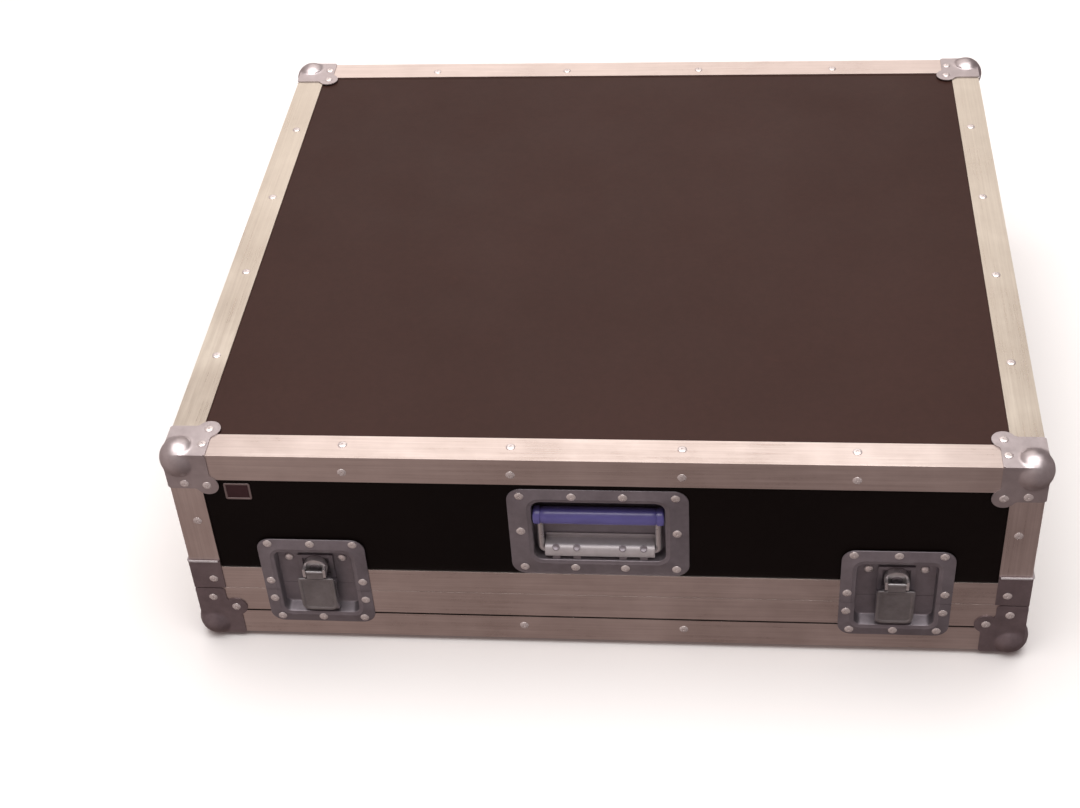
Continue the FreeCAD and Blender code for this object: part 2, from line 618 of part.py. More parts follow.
def build_lining():
    out_x, out_y = "(CaseWidth/2 - FoamInset)", "(CaseDepth/2 - FoamInset)"
    under_top = f"({TOP} - FoamInset)"
    keep(box("LidFoamTop", (f"-{out_x}", f"-{out_y}", f"{under_top} - FoamThick"),
             (out_x, out_y, under_top)), "lid_foam_top")
    keep(box("BaseFoamFloor", (f"-{out_x}", f"-{out_y}", up("FoamInset")),
             (out_x, out_y, up("FoamInset + FoamFloor"))), "base_foam_floor")
    low, high = up("SplitHeight + SplitGap + FoamEdge"), f"{under_top} - FoamThick - FoamGap"
    lid = foam_walls("LidFoam", low, high)
    doc.removeObject(lid.pop("front").Name)
    front, back = deep("FoamInset"), deep("FoamInset + FoamThick")
    side, sill = "(WellWidth/2 + Sheet + PocketPlay)", up("WellBottom - Sheet - PocketPlay")
    head = up("WellTop + Sheet + PocketPlay")
    spans = {"West": (f"-{out_x}", low, f"-{side}", high), "East": (side, low, out_x, high),
             "Sill": (f"-{side}", low, side, sill), "Head": (f"-{side}", head, side, high)}
    strips = [box(f"LidFoam{name}", (left, front, foot), (right, back, top))
              for name, (left, foot, right, top) in spans.items()]
    keep(group("LidFoamWalls", [*lid.values(), *strips]), "lid_foam_walls")
    base = foam_walls("BaseFoam", up("FoamInset + FoamFloor + FoamGap"), up("SplitHeight - FoamEdge"))
    keep(group("BaseFoamWalls", list(base.values())), "base_foam_walls")


# ------------------------------------------------------------------- handle

def build_handle_dish():
    flange = upright_slab("HandleFlange", "HandleWidth/2", up("HandleBottom"), up("HandleTop"),
                          deep("PlateInset"), deep("PlateInset + Sheet"), "HandleCorner", "all")
    tub = upright_slab("HandleTub", "(WellWidth/2 + Sheet)", up("WellBottom - Sheet"),
                       up("WellTop + Sheet"), deep("PlateInset"), deep("WellDepth + Sheet"),
                       "WellCorner + Sheet", "all")
    well = upright_slab("HandleWell", "WellWidth/2", up("WellBottom"), up("WellTop"),
                        deep("-Over"), deep("WellDepth"), "WellCorner", "all")
    dish = cut("HandleDish", join("HandleDishSolid", [flange, tub]), well)
    keep_drilled(dish, "lid", "handle_dish")


def build_handle_bracket():
    """A folded hood over the pivot bar, with a cheek at each end."""
    inner, wall = "HoodRadius - HoodWall", "HoodWall"
    start = ("-HoodHalf", deep("HandleDeep"), up("BailHeight"))

    def channel(name, radius, half, start_x):
        nose = rod(name + "Nose", "x", radius, f"2*({half})", (start_x, *start[1:]))
        back = box(name + "Back", (start_x, deep("HandleDeep"), up(f"BailHeight - ({radius})")),
                   (f"{half}", deep("WellDepth"), up(f"BailHeight + ({radius})")))
        return join(name, [nose, back])

    shell = channel("HoodOuter", "HoodRadius", "HoodHalf", "-HoodHalf")
    hollow = channel("HoodInner", inner, f"HoodHalf - {wall}", f"-HoodHalf + {wall}")
    tab = box("HoodFoot", ("-HoodHalf", deep("WellDepth - HoodWall"), up("BailHeight + HoodRadius")),
              ("HoodHalf", deep("WellDepth"), up("BailHeight + HoodRadius + HoodTab")))
    bore = rod("HoodBoreTool", "x", "HoodBore", "2*HoodHalf + 2*Over",
               ("-HoodHalf - Over", *start[1:]))
    hood = cut("HoodHollowed", join("HoodSolid", [shell, tab]), join("HoodSpace", [hollow, bore]))
    keep(hood, "handle_spring_bracket")
    coils = []
    for name, near in (("Left", "-SpringFar"), ("Right", "SpringNear")):
        length = "SpringFar - SpringNear"
        outside = rod(name + "CoilOut", "x", "SpringOut", length, (near, *start[1:]))
        inside = rod(name + "CoilIn", "x", "SpringIn", length, (near, *start[1:]))
        coils.append(cut(name + "Coil", outside, inside))
    keep(group("HandleSprings", coils), "handle_springs")


def elbow(name, bend, centre, quarter):
    """A quarter bend of the bail rod, upright, counted from the upper right."""
    solid = doc.addObject("Part::Torus", name)
    solid.setExpression("Radius1", linked(bend))
    solid.setExpression("Radius2", linked("BailRod"))
    solid.Angle3 = 90
    upright = Rotation(Vector(1, 0, 0), 90)
    return place(solid, centre, Rotation(Vector(0, 1, 0), -90 * quarter) * upright)


def build_bail():
    """A bent steel rod: pivot bar, two arms and the bar inside the grip."""
    y, foot, head = deep("HandleDeep"), up("BailHeight"), up("BailHeight + BailReach")
    arm = "BailReach - BailBend - BailTopBend"
    arm_foot = up("BailHeight + BailBend")
    parts = [
        rod("BarLeft", "x", "BailRod", "BailHalf - BailBend - BailGap/2",
            ("-BailHalf + BailBend", y, foot)),
        rod("BarRight", "x", "BailRod", "BailHalf - BailBend - BailGap/2", ("BailGap/2", y, foot)),
        rod("ArmLeft", "z", "BailRod", arm, ("-BailHalf", y, arm_foot)),
        rod("ArmRight", "z", "BailRod", arm, ("BailHalf", y, arm_foot)),
        rod("BarTop", "x", "BailRod", "2*(BailHalf - BailTopBend)",
            ("-BailHalf + BailTopBend", y, head)),
    ]
    bends = ((0, "BailTopBend", "BailHalf - BailTopBend", f"{head} - BailTopBend"),
             (1, "BailTopBend", "-BailHalf + BailTopBend", f"{head} - BailTopBend"),
             (2, "BailBend", "-BailHalf + BailBend", arm_foot),
             (3, "BailBend", "BailHalf - BailBend", arm_foot))
    parts += [elbow(f"BailElbow{quarter}", bend, (x, y, z), quarter) for quarter, bend, x, z in bends]
    return keep(join("Bail", parts), "handle_bail")


def build_grip(bail):
    """A moulded sleeve over the top of the bail."""
    sleeve = rod("GripSleeve", "x", "GripRadius", "2*GripHalf",
                 ("-GripHalf", deep("HandleDeep"), up("BailHeight + BailReach")))
    soft = rounded("GripRounded", sleeve, "GripRound", lambda edge: not runs_along(edge, "x"))
    keep(cut("Grip", soft, bail), "handle_grip")


def build_tag():
    plate = upright_slab("Tag", "TagHalf", up("TagLow"), up("TagHigh"), deep("Skin - TagThick"),
                         deep("Skin"), "TagCorner", "all", "-TagCentre")
    keep(plate, "name_plate")


# ------------------------------------------------------------------ latches

def latch_half_dish(name, centre, low, high, recess_low, recess_high, rounding):
    """A pressed plate with a recess that is open at the split line."""
    flange = upright_slab(name + "Flange", "LatchHalf", low, high, deep("-LatchPlate"), deep("0"),
                          "LatchCorner", rounding, centre)
    tub_low = recess_low if rounding == "upper" else f"{recess_low} - RecessSheet"
    tub_high = recess_high if rounding == "lower" else f"{recess_high} + RecessSheet"
    tub = upright_slab(name + "Tub", "(RecessHalf + RecessSheet)", tub_low, tub_high,
                       deep("-LatchPlate"), deep("RecessDepth + RecessSheet"),
                       "RecessCorner + RecessSheet", rounding, centre)
    hollow = upright_slab(name + "Recess", "RecessHalf", recess_low, recess_high,
                          deep("-LatchPlate - Over"), deep("RecessDepth"), "RecessCorner", rounding,
                          centre)
    return cut(name + "Pressed", join(name + "Solid", [flange, tub]), hollow)


def build_dishes(side, centre):
    low, high = up("SplitHeight + SplitGap"), up("LatchTop")
    dish = latch_half_dish(f"LatchDish{side}", centre, low, high, low, up("RecessTop"), "upper")
    spot = (centre, deep("HubFront + PostHeadSink"), up("RotorHeight"))
    post = rod(f"Post{side}", "y", "PostRadius", "RecessDepth + RecessSheet/2 - HubFront", spot)
    head = rod(f"PostHead{side}", "y", "PostRadius + PostHead", "PostHeadThick", spot)
    keep_drilled(join(f"LatchDishPost{side}", [dish, post, head]), "lid", f"latch_dish_{side}")

    low, high = up("LatchBottom"), up("SplitHeight")
    dish = latch_half_dish(f"KeeperDish{side}", centre, low, high, up("RecessBottom"), high, "lower")
    bar = box(f"KeeperBar{side}", (f"{centre} - KeeperHalf", deep("KeeperFront"), up("KeeperLow")),
              (f"{centre} + KeeperHalf", deep("RecessDepth + RecessSheet/2"), up("KeeperHigh")))
    keep_drilled(join(f"KeeperDishBar{side}", [dish, bar]), "base", f"keeper_dish_{side}")


def build_rotor(side, centre):
    """The turning hub: a cam behind, two lugs for the wing in front."""
    middle = up("RotorHeight")
    hub = rod(f"Hub{side}", "y", "HubRadius", "HubBack - HubFront",
              (centre, deep("HubFront"), middle))
    cam = rod(f"Cam{side}", "y", "CamRadius", "DrawBack - HubBack",
              (centre, deep("HubBack"), up("RotorHeight - CamThrow")))
    lugs = [box(f"Lug{side}{name}", (f"{centre} + {start}", deep("-WingDeep - LugReach"),
                                     up("RotorHeight - LugHalf")),
                (f"{centre} + {start} + LugThick", deep("HubFront + LugRoot"),
                 up("RotorHeight + LugHalf")))
            for name, start in (("Near", "(-LugInner - LugThick)"), ("Far", "LugInner"))]
    front = (centre, deep("HubFront - Over"), middle)
    bore = rod(f"RotorBore{side}", "y", "PostBore", "DrawBack + Over", front)
    sink = rod(f"RotorSink{side}", "y", "PostRadius + PostHead + Fit",
               "Over + PostHeadSink + PostHeadThick + PinPlay", front)
    eye = rod(f"LugBore{side}", "x", "WingPin", "2*HubRadius",
              (f"{centre} - HubRadius", deep("-WingDeep"), middle))
    rotor = cut(f"Rotor{side}", join(f"RotorSolid{side}", [hub, cam, *lugs]),
                join(f"RotorHollows{side}", [bore, sink, eye]))
    keep(rotor, f"latch_rotor_{side}")
    keep(rod(f"WingPinRod{side}", "x", "WingPin", "2*(LugInner + LugThick)",
             (f"{centre} - LugInner - LugThick", deep("-WingDeep"), middle)),
         f"latch_wing_pin_{side}")


def build_wing(side, centre):
    """The folding thumb plate, hanging from its pin."""
    front, back = deep("-WingDeep - WingThick/2"), deep("-WingDeep + WingThick/2")
    plate = upright_slab(f"WingPlate{side}", "WingHalf", up("RotorHeight - WingLength"),
                         up("RotorHeight - WingShoulder"), front, back, "WingCorner", "lower",
                         centre)
    neck = box(f"WingNeck{side}", (f"{centre} - NeckHalf", front, up("RotorHeight - WingShoulder - Over")),
               (f"{centre} + NeckHalf", back, up("RotorHeight")))
    barrel = rod(f"WingBarrel{side}", "x", "BarrelRadius", "2*NeckHalf",
                 (f"{centre} - NeckHalf", deep("-WingDeep"), up("RotorHeight")))
    bore = rod(f"WingBore{side}", "x", "WingPin + PinPlay", "2*NeckHalf + 2*Over",
               (f"{centre} - NeckHalf - Over", deep("-WingDeep"), up("RotorHeight")))
    keep(cut(f"Wing{side}", join(f"WingSolid{side}", [plate, neck, barrel]), bore),
         f"latch_wing_{side}")


def build_draw_plate(side, centre):
    """The plate that the cam lifts, with a trunnion for the hook at its foot."""
    middle = "(RotorHeight - CamThrow)"
    window_high, window_wide = "(CamRadius + CamPlay)", "(CamRadius + CamThrow + WindowPlay)"
    front, back = deep("DrawFront"), deep("DrawBack")
    plate = box(f"DrawPlateBlank{side}", (f"{centre} - DrawHalf", front, up("TrunnionHeight + DrawFoot")),
                (f"{centre} + DrawHalf", back, up(f"{middle} + {window_high} + DrawRim")))
    knuckle = box(f"DrawKnuckle{side}", (f"{centre} - YokeHalf", deep("YokeFront"),
                                         up("TrunnionHeight - YokeLow")),
                  (f"{centre} + YokeHalf", back, up("TrunnionHeight + YokeHigh")))
    trunnion = rod(f"Trunnion{side}", "x", "TrunnionRadius", "2*DrawHalf",
                   (f"{centre} - DrawHalf", deep("TrunnionDeep"), up("TrunnionHeight")))
    window = box(f"CamWindow{side}",
                 (f"{centre} - {window_wide}", deep("DrawFront - Over"),
                  up(f"{middle} - {window_high}")),
                 (f"{centre} + {window_wide}", deep("DrawBack + Over"),
                  up(f"{middle} + {window_high}")))
    solid = join(f"DrawSolid{side}", [plate, knuckle, trunnion])
    keep(cut(f"DrawPlate{side}", solid, window), f"draw_plate_{side}")


def build_hook(side, centre):
    """The hook plate, let down and swung out of the keeper about its trunnion."""
    blade = box(f"HookBlade{side}", ("-HookHalf", "HookFront - TrunnionDeep", "-HookDrop"),
                ("HookHalf", "HookBack - TrunnionDeep", "HookRise"))
    lip = box(f"HookLipBar{side}", ("-HookHalf", "HookFront - TrunnionDeep", "-HookDrop"),
              ("HookHalf", "HookLip - TrunnionDeep", "-HookDrop + HookLipThick"))
    arms = []
    width = "(HookHalf - HookArmIn)"
    for name, start in (("Near", "-HookHalf"), ("Far", "HookArmIn")):
        arms.append(box(f"HookArm{side}{name}", (start, "HookFront - TrunnionDeep", "-HookEye"),
                        (f"{start} + {width}", "0", "HookEye")))
        arms.append(rod(f"HookEye{side}{name}", "x", "HookEye", width, (start, "0", "0")))
    bore = rod(f"HookBore{side}", "x", "TrunnionRadius + PinPlay", "2*HookHalf + 2*Over",
               ("-HookHalf - Over", "0", "0"))
    hook = cut(f"Hook{side}", join(f"HookSolid{side}", [blade, lip, *arms]), bore)
    place(hook, (centre, deep("TrunnionDeep"), up("TrunnionHeight")))
    hook.Placement = Placement(hook.Placement.Base, Rotation(Vector(1, 0, 0), -size("HookTilt")))
    keep(hook, f"latch_hook_{side}")


# ------------------------------------------------------------------- hinges

def hinge_leaf(name, centre, upper):
    """One leaf, with knuckles at the split line and a notch for the other's."""
    middle = up("SplitHeight + SplitGap/2")
    face, axis_y = "CaseDepth/2", "CaseDepth/2 + HingeAxis"
    low, high = (middle, f"{middle} + LeafHigh") if upper else (f"{middle} - LeafHigh", middle)
    leaf = box(name + "Leaf", (f"{centre} - HingeHalf", face, low),
               (f"{centre} + HingeHalf", f"{face} + LeafThick", high))
    outer = [(f"{centre} - HingeHalf", "HingeHalf - KnuckleHalf"),
             (f"{centre} + KnuckleHalf", "HingeHalf - KnuckleHalf")]
    inner = [(f"{centre} - KnuckleHalf", "2*KnuckleHalf")]
    own, other = (outer, inner) if upper else (inner, outer)
    knuckles = [rod(f"{name}Knuckle{number}", "x", "KnuckleRadius", f"{length} - 2*KnuckleGap",
                    (f"{start} + KnuckleGap", axis_y, middle))
                for number, (start, length) in enumerate(own)]
    reliefs = [rod(f"{name}Relief{number}", "x", "KnuckleRadius + KnuckleRelief",
                   f"{length} + KnuckleGap", (f"{start} - KnuckleGap/2", axis_y, middle))
               for number, (start, length) in enumerate(other)]
    trimmed = cut(name + "Trimmed", leaf, group(name + "Reliefs", reliefs))
    bore = rod(name + "Bore", "x", "HingePin + PinPlay", "2*HingeHalf + 2*Over",
               (f"{centre} - HingeHalf - Over", axis_y, middle))
    return cut(name + "Bored", join(name + "Solid", [trimmed, *knuckles]), bore)


def build_hinges():
    spots = (("Left", "-HingeOffset"), ("Right", "HingeOffset"))
    middle = up("SplitHeight + SplitGap/2")
    lid = [hinge_leaf("LidHinge" + name, centre, True) for name, centre in spots]
    base = [hinge_leaf("BaseHinge" + name, centre, False) for name, centre in spots]
    keep_drilled(group("LidLeaves", lid), "lid", "hinge_lid_leaves")
    keep_drilled(group("BaseLeaves", base), "base", "hinge_base_leaves")
    pins = [rod("HingePin" + name, "x", "HingePin", "2*HingeHalf",
                (f"{centre} - HingeHalf", "CaseDepth/2 + HingeAxis", middle))
            for name, centre in spots]
    keep(group("HingePins", pins), "hinge_pins")


def build_rivets():
    for half, seats in RIVETS.items():
        rivets = doc.addObject("Part::Feature", f"{half}Rivets")
        rivets.Shape = lay_copies(domed_rivet(), seats)
        keep(rivets, f"{half}_rivets")


# -------------------------------------------------------------------- write

def check_document():
    doc.recompute()
    failed = [item.Name for item in doc.Objects if {"Invalid", "Error"} & set(item.State)]
    if failed:
        raise RuntimeError(f"features that failed: {failed}")
    for solid in SUB_PARTS:
        if solid.Shape.isNull() or not solid.Shape.isValid() or not solid.Shape.Solids:
            raise RuntimeError(f"{solid.Label} has no valid solid")


def main():
    list_rivets()
    build_panels()
    build_edging()
    build_corner_fittings()
    build_lining()
    build_handle_dish()
    build_handle_bracket()
    build_grip(build_bail())
    build_tag()
    for side, centre in LATCH_SIDES.items():
        build_dishes(side, centre)
        build_rotor(side, centre)
        build_wing(side, centre)
        build_draw_plate(side, centre)
        build_hook(side, centre)
    build_hinges()
    build_rivets()
    check_document()
    os.makedirs("parts", exist_ok=True)
    for solid in SUB_PARTS:
        solid.Shape.exportStep(f"parts/{solid.Label}.step")


main()
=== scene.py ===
import json
import math

import bmesh
import bpy
from mathutils import Matrix, Vector, noise


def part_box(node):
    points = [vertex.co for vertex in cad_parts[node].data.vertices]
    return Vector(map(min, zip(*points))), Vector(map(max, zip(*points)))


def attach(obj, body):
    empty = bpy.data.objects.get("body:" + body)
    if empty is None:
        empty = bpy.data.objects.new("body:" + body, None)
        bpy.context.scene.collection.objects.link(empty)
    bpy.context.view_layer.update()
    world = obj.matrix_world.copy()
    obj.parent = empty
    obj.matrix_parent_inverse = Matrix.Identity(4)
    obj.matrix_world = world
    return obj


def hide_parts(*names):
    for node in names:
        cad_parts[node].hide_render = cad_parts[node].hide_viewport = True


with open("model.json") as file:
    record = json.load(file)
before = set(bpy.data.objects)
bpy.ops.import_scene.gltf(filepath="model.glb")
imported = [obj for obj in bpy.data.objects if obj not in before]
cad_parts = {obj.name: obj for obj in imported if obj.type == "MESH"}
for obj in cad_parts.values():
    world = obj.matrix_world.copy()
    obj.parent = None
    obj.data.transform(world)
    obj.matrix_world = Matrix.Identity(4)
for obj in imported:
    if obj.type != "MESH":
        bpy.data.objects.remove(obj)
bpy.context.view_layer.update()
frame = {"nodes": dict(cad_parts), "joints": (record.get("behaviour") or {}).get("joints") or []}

# A closed flight case: detailed pressed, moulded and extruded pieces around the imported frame.
# Metres, X to the right, Y to the back, Z up.

MM = 0.001


# ------------------------------------------------------- places from the frame

JOINTS = {joint["name"]: joint for joint in frame["joints"]}
BASE_LOW, LID_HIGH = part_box("base_edge_front")[0].z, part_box("lid_top_edge_front")[1].z
HALF_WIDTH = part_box("lid_rim_front")[1].x
FRONT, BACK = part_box("lid_rim_front")[0].y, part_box("lid_rim_back")[1].y
SHEET = 1.2 * MM
EDGING_ROUND, HARDWARE_ROUND, CORNER_ROUND = 0.55 * MM, 0.35 * MM, 0.45 * MM
WELD, FINE_WELD = 0.002 * MM, 0.001 * MM


# ------------------------------------------------------------------- geometry
# A shape is a pair: a list of points and a list of faces that index them.

def together(*shapes):
    """Several shapes as one."""
    points, faces = [], []
    for more_points, more_faces in shapes:
        start = len(points)
        points += more_points
        faces += [tuple(start + index for index in face) for face in more_faces]
    return points, faces


def moved(shape, matrix):
    points, faces = shape
    flipped = matrix.determinant() < 0
    turned = [tuple(reversed(face)) for face in faces] if flipped else faces
    return [tuple(matrix @ Vector(point)) for point in points], turned


def rows_of_quads(row_count, row_length, closed=True, start=0):
    """Quads between equal rows of points."""
    faces = []
    for row in range(row_count - 1):
        for step in range(row_length if closed else row_length - 1):
            after = (step + 1) % row_length
            low, high = start + row * row_length, start + (row + 1) * row_length
            faces.append((low + step, low + after, high + after, high + step))
    return faces


def stacked(loops):
    """A closed solid through a row of equal loops, capped at both ends."""
    length = len(loops[0])
    points = [point for loop in loops for point in loop]
    faces = rows_of_quads(len(loops), length)
    faces.append(tuple(reversed(range(length))))
    faces.append(tuple(range(len(points) - length, len(points))))
    return points, faces


def lathe(profile, steps=32):
    """A solid of revolution about +Z from (height, radius) pairs."""
    loops = []
    for height, radius in profile:
        turns = [2 * math.pi * step / steps for step in range(steps)]
        loops.append([(radius * math.cos(turn), radius * math.sin(turn), height) for turn in turns])
    return stacked(loops)


def arc(centre, radius, start, end, steps):
    """Points (first, second) along an arc, angles in degrees."""
    angles = [math.radians(start + (end - start) * step / steps) for step in range(steps + 1)]
    return [(centre[0] + radius * math.cos(a), centre[1] + radius * math.sin(a)) for a in angles]


CORNER_STEPS = 8


def rounded_loop(rim, depth, centre=0.0):
    """A rounded rectangle facing the front.  rim is half width, low, high and two corner radii."""
    half, low, high, low_radius, high_radius = rim
    spots = []
    for x, z, radius, start in ((half, high, high_radius, 0), (-half, high, high_radius, 90),
                                (-half, low, low_radius, 180), (half, low, low_radius, 270)):
        inner = (x - math.copysign(radius, x), z + (radius if z == low else -radius))
        spots += arc(inner, radius, start, start + 90, CORNER_STEPS)
    return [(centre + x, depth, z) for x, z in spots]


def grown(rim, amount):
    half, low, high, low_radius, high_radius = rim
    least = 0.2 * MM
    return (half + amount, low - amount, high + amount,
            max(low_radius + amount, least), max(high_radius + amount, least))


def tube(path, radius, steps=10):
    """A round wire along a list of points."""
    loops = []
    side = Vector((0, 0, 1))
    for number, spot in enumerate(path):
        before, after = path[max(number - 1, 0)], path[min(number + 1, len(path) - 1)]
        along = (Vector(after) - Vector(before)).normalized()
        side = (side - along * side.dot(along)).normalized()
        over = along.cross(side)
        turns = [2 * math.pi * step / steps for step in range(steps)]
        loops.append([tuple(Vector(spot) + side * radius * math.cos(t) + over * radius * math.sin(t))
                      for t in turns])
    return stacked(loops)


# --------------------------------------------------------------------- pieces

def make_piece(name, shape, body, nodes, material):
    """A mesh object that rides on a body and stands for CAD nodes."""
    mesh = bpy.data.meshes.new(name)
    mesh.from_pydata(shape[0], [], shape[1])
    return dress(name, mesh, body, nodes, material)


def dress(name, mesh, body, nodes, material):
    work = bmesh.new()
    work.from_mesh(mesh)
    bmesh.ops.remove_doubles(work, verts=work.verts, dist=WELD)
    bmesh.ops.recalc_face_normals(work, faces=work.faces)
    work.to_mesh(mesh)
    work.free()
    piece = bpy.data.objects.new(name, mesh)
    bpy.context.scene.collection.objects.link(piece)
    mesh.materials.clear()
    mesh.materials.append(material)
    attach(piece, body)
    if nodes:
        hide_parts(*nodes)
    return piece


def soften(piece, width, segments=2, angle=35):
    """Round the sharp edges, and shade the rest smoothly."""
    bevel = piece.modifiers.new("edge_rounding", "BEVEL")
    bevel.width = width
    bevel.segments = segments
    bevel.limit_method = "ANGLE"
    bevel.angle_limit = math.radians(angle)
    bevel.harden_normals = True
    shade(piece)
    return piece


def shade(piece, angle=40):
    piece.data.polygons.foreach_set("use_smooth", [True] * len(piece.data.polygons))
    piece.data.set_sharp_from_angle(angle=math.radians(angle))


def refined(node, body, material, width, segments=2):
    """The CAD shape of a node with welded faces and rounded edges."""
    flat = math.radians(0.4)
    source = frame["nodes"][node]
    mesh = bpy.data.meshes.new(node + "_fine")
    work = bmesh.new()
    work.from_mesh(source.data)
    bmesh.ops.remove_doubles(work, verts=work.verts, dist=FINE_WELD)
    bmesh.ops.dissolve_limit(work, angle_limit=flat, verts=work.verts, edges=work.edges)
    work.to_mesh(mesh)
    work.free()
    piece = dress(node + "_fine", mesh, body, [node], material)
    return soften(piece, width, segments)


# ------------------------------------------------------------------ materials

class Finish:
    """A procedural material and the few nodes that most finishes share."""

    def __init__(self, name, **constants):
        self.material = bpy.data.materials.new(name)
        self.material.use_nodes = True
        self.tree = self.material.node_tree
        self.shader = self.tree.nodes["Principled BSDF"]
        self.place = self.tree.nodes.new("ShaderNodeTexCoord").outputs["Object"]
        for socket, value in constants.items():
            self.shader.inputs[socket.replace("_", " ")].default_value = value

    def node(self, kind, **settings):
        made = self.tree.nodes.new(kind)
        for name, value in settings.items():
            setattr(made, name, value)
        return made

    def link(self, start, end):
        self.tree.links.new(start, end)

    def stretched(self, scale):
        mapping = self.node("ShaderNodeMapping")
        mapping.inputs["Scale"].default_value = scale
        self.link(self.place, mapping.inputs["Vector"])
        return mapping.outputs["Vector"]

    def noise(self, scale, detail=4, roughness=0.6, stretch=(1, 1, 1)):
        texture = self.node("ShaderNodeTexNoise")
        texture.inputs["Scale"].default_value = scale
        texture.inputs["Detail"].default_value = detail
        texture.inputs["Roughness"].default_value = roughness
        self.link(self.stretched(stretch), texture.inputs["Vector"])
        return texture.outputs["Fac"]

    def speckle(self, scale, stretch=(1, 1, 1)):
        texture = self.node("ShaderNodeTexVoronoi")
        texture.inputs["Scale"].default_value = scale
        self.link(self.stretched(stretch), texture.inputs["Vector"])
        return texture.outputs["Distance"]

    def ramp(self, source, *stops):
        ramp = self.node("ShaderNodeValToRGB")
        elements = ramp.color_ramp.elements
        for number, (position, colour) in enumerate(stops):
            element = elements[number] if number < 2 else elements.new(position)
            element.position = position
            element.color = (*colour, 1) if len(colour) == 3 else (colour[0],) * 3 + (1,)
        self.link(source, ramp.inputs["Fac"])
        return ramp.outputs["Color"]

    def mix(self, factor, first, second, mode="MIX"):
        mixer = self.node("ShaderNodeMix", data_type="RGBA", blend_type=mode)
        for socket, source in (("Factor", factor), ("A", first), ("B", second)):
            target = next(item for item in mixer.inputs if item.name == socket
                          and item.type == ("VALUE" if socket == "Factor" else "RGBA"))
            if isinstance(source, (int, float)):
                target.default_value = source
            else:
                self.link(source, target)
        return next(item for item in mixer.outputs if item.type == "RGBA")

    def bump(self, source, distance, strength=1.0, under=None):
        bump = self.node("ShaderNodeBump")
        bump.inputs["Distance"].default_value = distance
        bump.inputs["Strength"].default_value = strength
        self.link(source, bump.inputs["Height"])
        if under is not None:
            self.link(under, bump.inputs["Normal"])
        return bump.outputs["Normal"]

    def set(self, socket, source):
        self.link(source, self.shader.inputs[socket])


def scratches(finish, scale, turn, thin=0.012):
    """Sparse hairlines, white on black, from a stretched cell pattern."""
    mapping = finish.node("ShaderNodeMapping")
    mapping.inputs["Rotation"].default_value = turn
    mapping.inputs["Scale"].default_value = (1, 14, 14)
    finish.link(finish.place, mapping.inputs["Vector"])
    texture = finish.node("ShaderNodeTexVoronoi", feature="DISTANCE_TO_EDGE")
    texture.inputs["Scale"].default_value = scale
    finish.link(mapping.outputs["Vector"], texture.inputs["Vector"])
    lines = finish.ramp(texture.outputs["Distance"], (0.0, (1,)), (thin, (0,)))
    patches = finish.ramp(finish.noise(scale * 1.3, 3), (0.55, (0,)), (0.68, (1,)))
    return finish.mix(1.0, lines, patches, "MULTIPLY")


def laminate(name, deep, pale, sheen, specular):
    """Satin phenolic film on plywood, with a fine skin, faint clouds and hairline scratches."""
    finish = Finish(name, Specular_IOR_Level=specular)
    clouds = finish.ramp(finish.noise(3.2, 6, 0.62), (0.3, deep), (0.7, pale))
    dust = finish.ramp(finish.noise(140, 3, 0.7), (0.35, (0.86,)), (0.75, (1.0,)))
    colour = finish.mix(1.0, clouds, dust, "MULTIPLY")
    lines = scratches(finish, 7, (0.2, 0.1, 0.9))
    worn = finish.ramp(lines, (0.0, (0,)), (1.0, (0.16,)))
    colour = finish.mix(1.0, colour, finish.mix(1.0, worn, clouds, "MULTIPLY"), "ADD")
    finish.set("Base Color", colour)
    gloss = finish.ramp(finish.noise(9, 5, 0.6), (0.3, (sheen - 0.05,)), (0.7, (sheen + 0.06,)))
    finish.set("Roughness", gloss)
    skin = finish.bump(finish.noise(900, 2, 0.5), 0.05 * MM, 0.5)
    wave = finish.bump(finish.noise(26, 3, 0.5), 0.25 * MM, 0.35, skin)
    finish.set("Normal", finish.bump(lines, 0.04 * MM, 0.6, wave))
    return finish.material


def metal(name, pale, deep, rough, stretch=(1, 1, 1), fine=420, streak=0.09, dent=0.3, metallic=1.0):
    """Metal with mill lines along one direction, cloudy oxide and hairline scratches."""
    finish = Finish(name, Metallic=metallic)
    clouds = finish.noise(11, 5, 0.6)
    lines = finish.noise(fine, 5, 0.7, stretch)
    tone = finish.mix(0.45, clouds, lines)
    finish.set("Base Color", finish.ramp(tone, (0.36, deep), (0.62, pale)))
    marks = scratches(finish, 16, (0.5, 0.3, 0.4), 0.02)
    patchy = finish.ramp(finish.mix(0.5, lines, clouds),
                         (0.35, (rough - streak,)), (0.65, (rough + streak,)))
    finish.set("Roughness", finish.mix(1.0, patchy, finish.ramp(marks, (0, (0,)), (1, (0.12,))), "ADD"))
    grain = finish.bump(lines, 0.03 * MM, 0.55)
    waves = finish.bump(finish.noise(19, 2, 0.5), 0.9 * MM, dent, grain)
    finish.set("Normal", finish.bump(marks, 0.03 * MM, 0.5, waves))
    return finish.material


def vinyl(name, colour, dark):
    """Glossy moulded vinyl with a faint mottle and flow lines."""
    finish = Finish(name, Specular_IOR_Level=0.5, Coat_Weight=0.35, Coat_Roughness=0.18)
    cloud = finish.noise(60, 4, 0.55, (0.4, 1, 1))
    finish.set("Base Color", finish.ramp(cloud, (0.3, dark), (0.7, colour)))
    finish.set("Roughness", finish.ramp(finish.noise(240, 3), (0.3, (0.3,)), (0.7, (0.42,))))
    finish.set("Normal", finish.bump(finish.noise(700, 3, 0.6), 0.05 * MM, 0.45))
    return finish.material


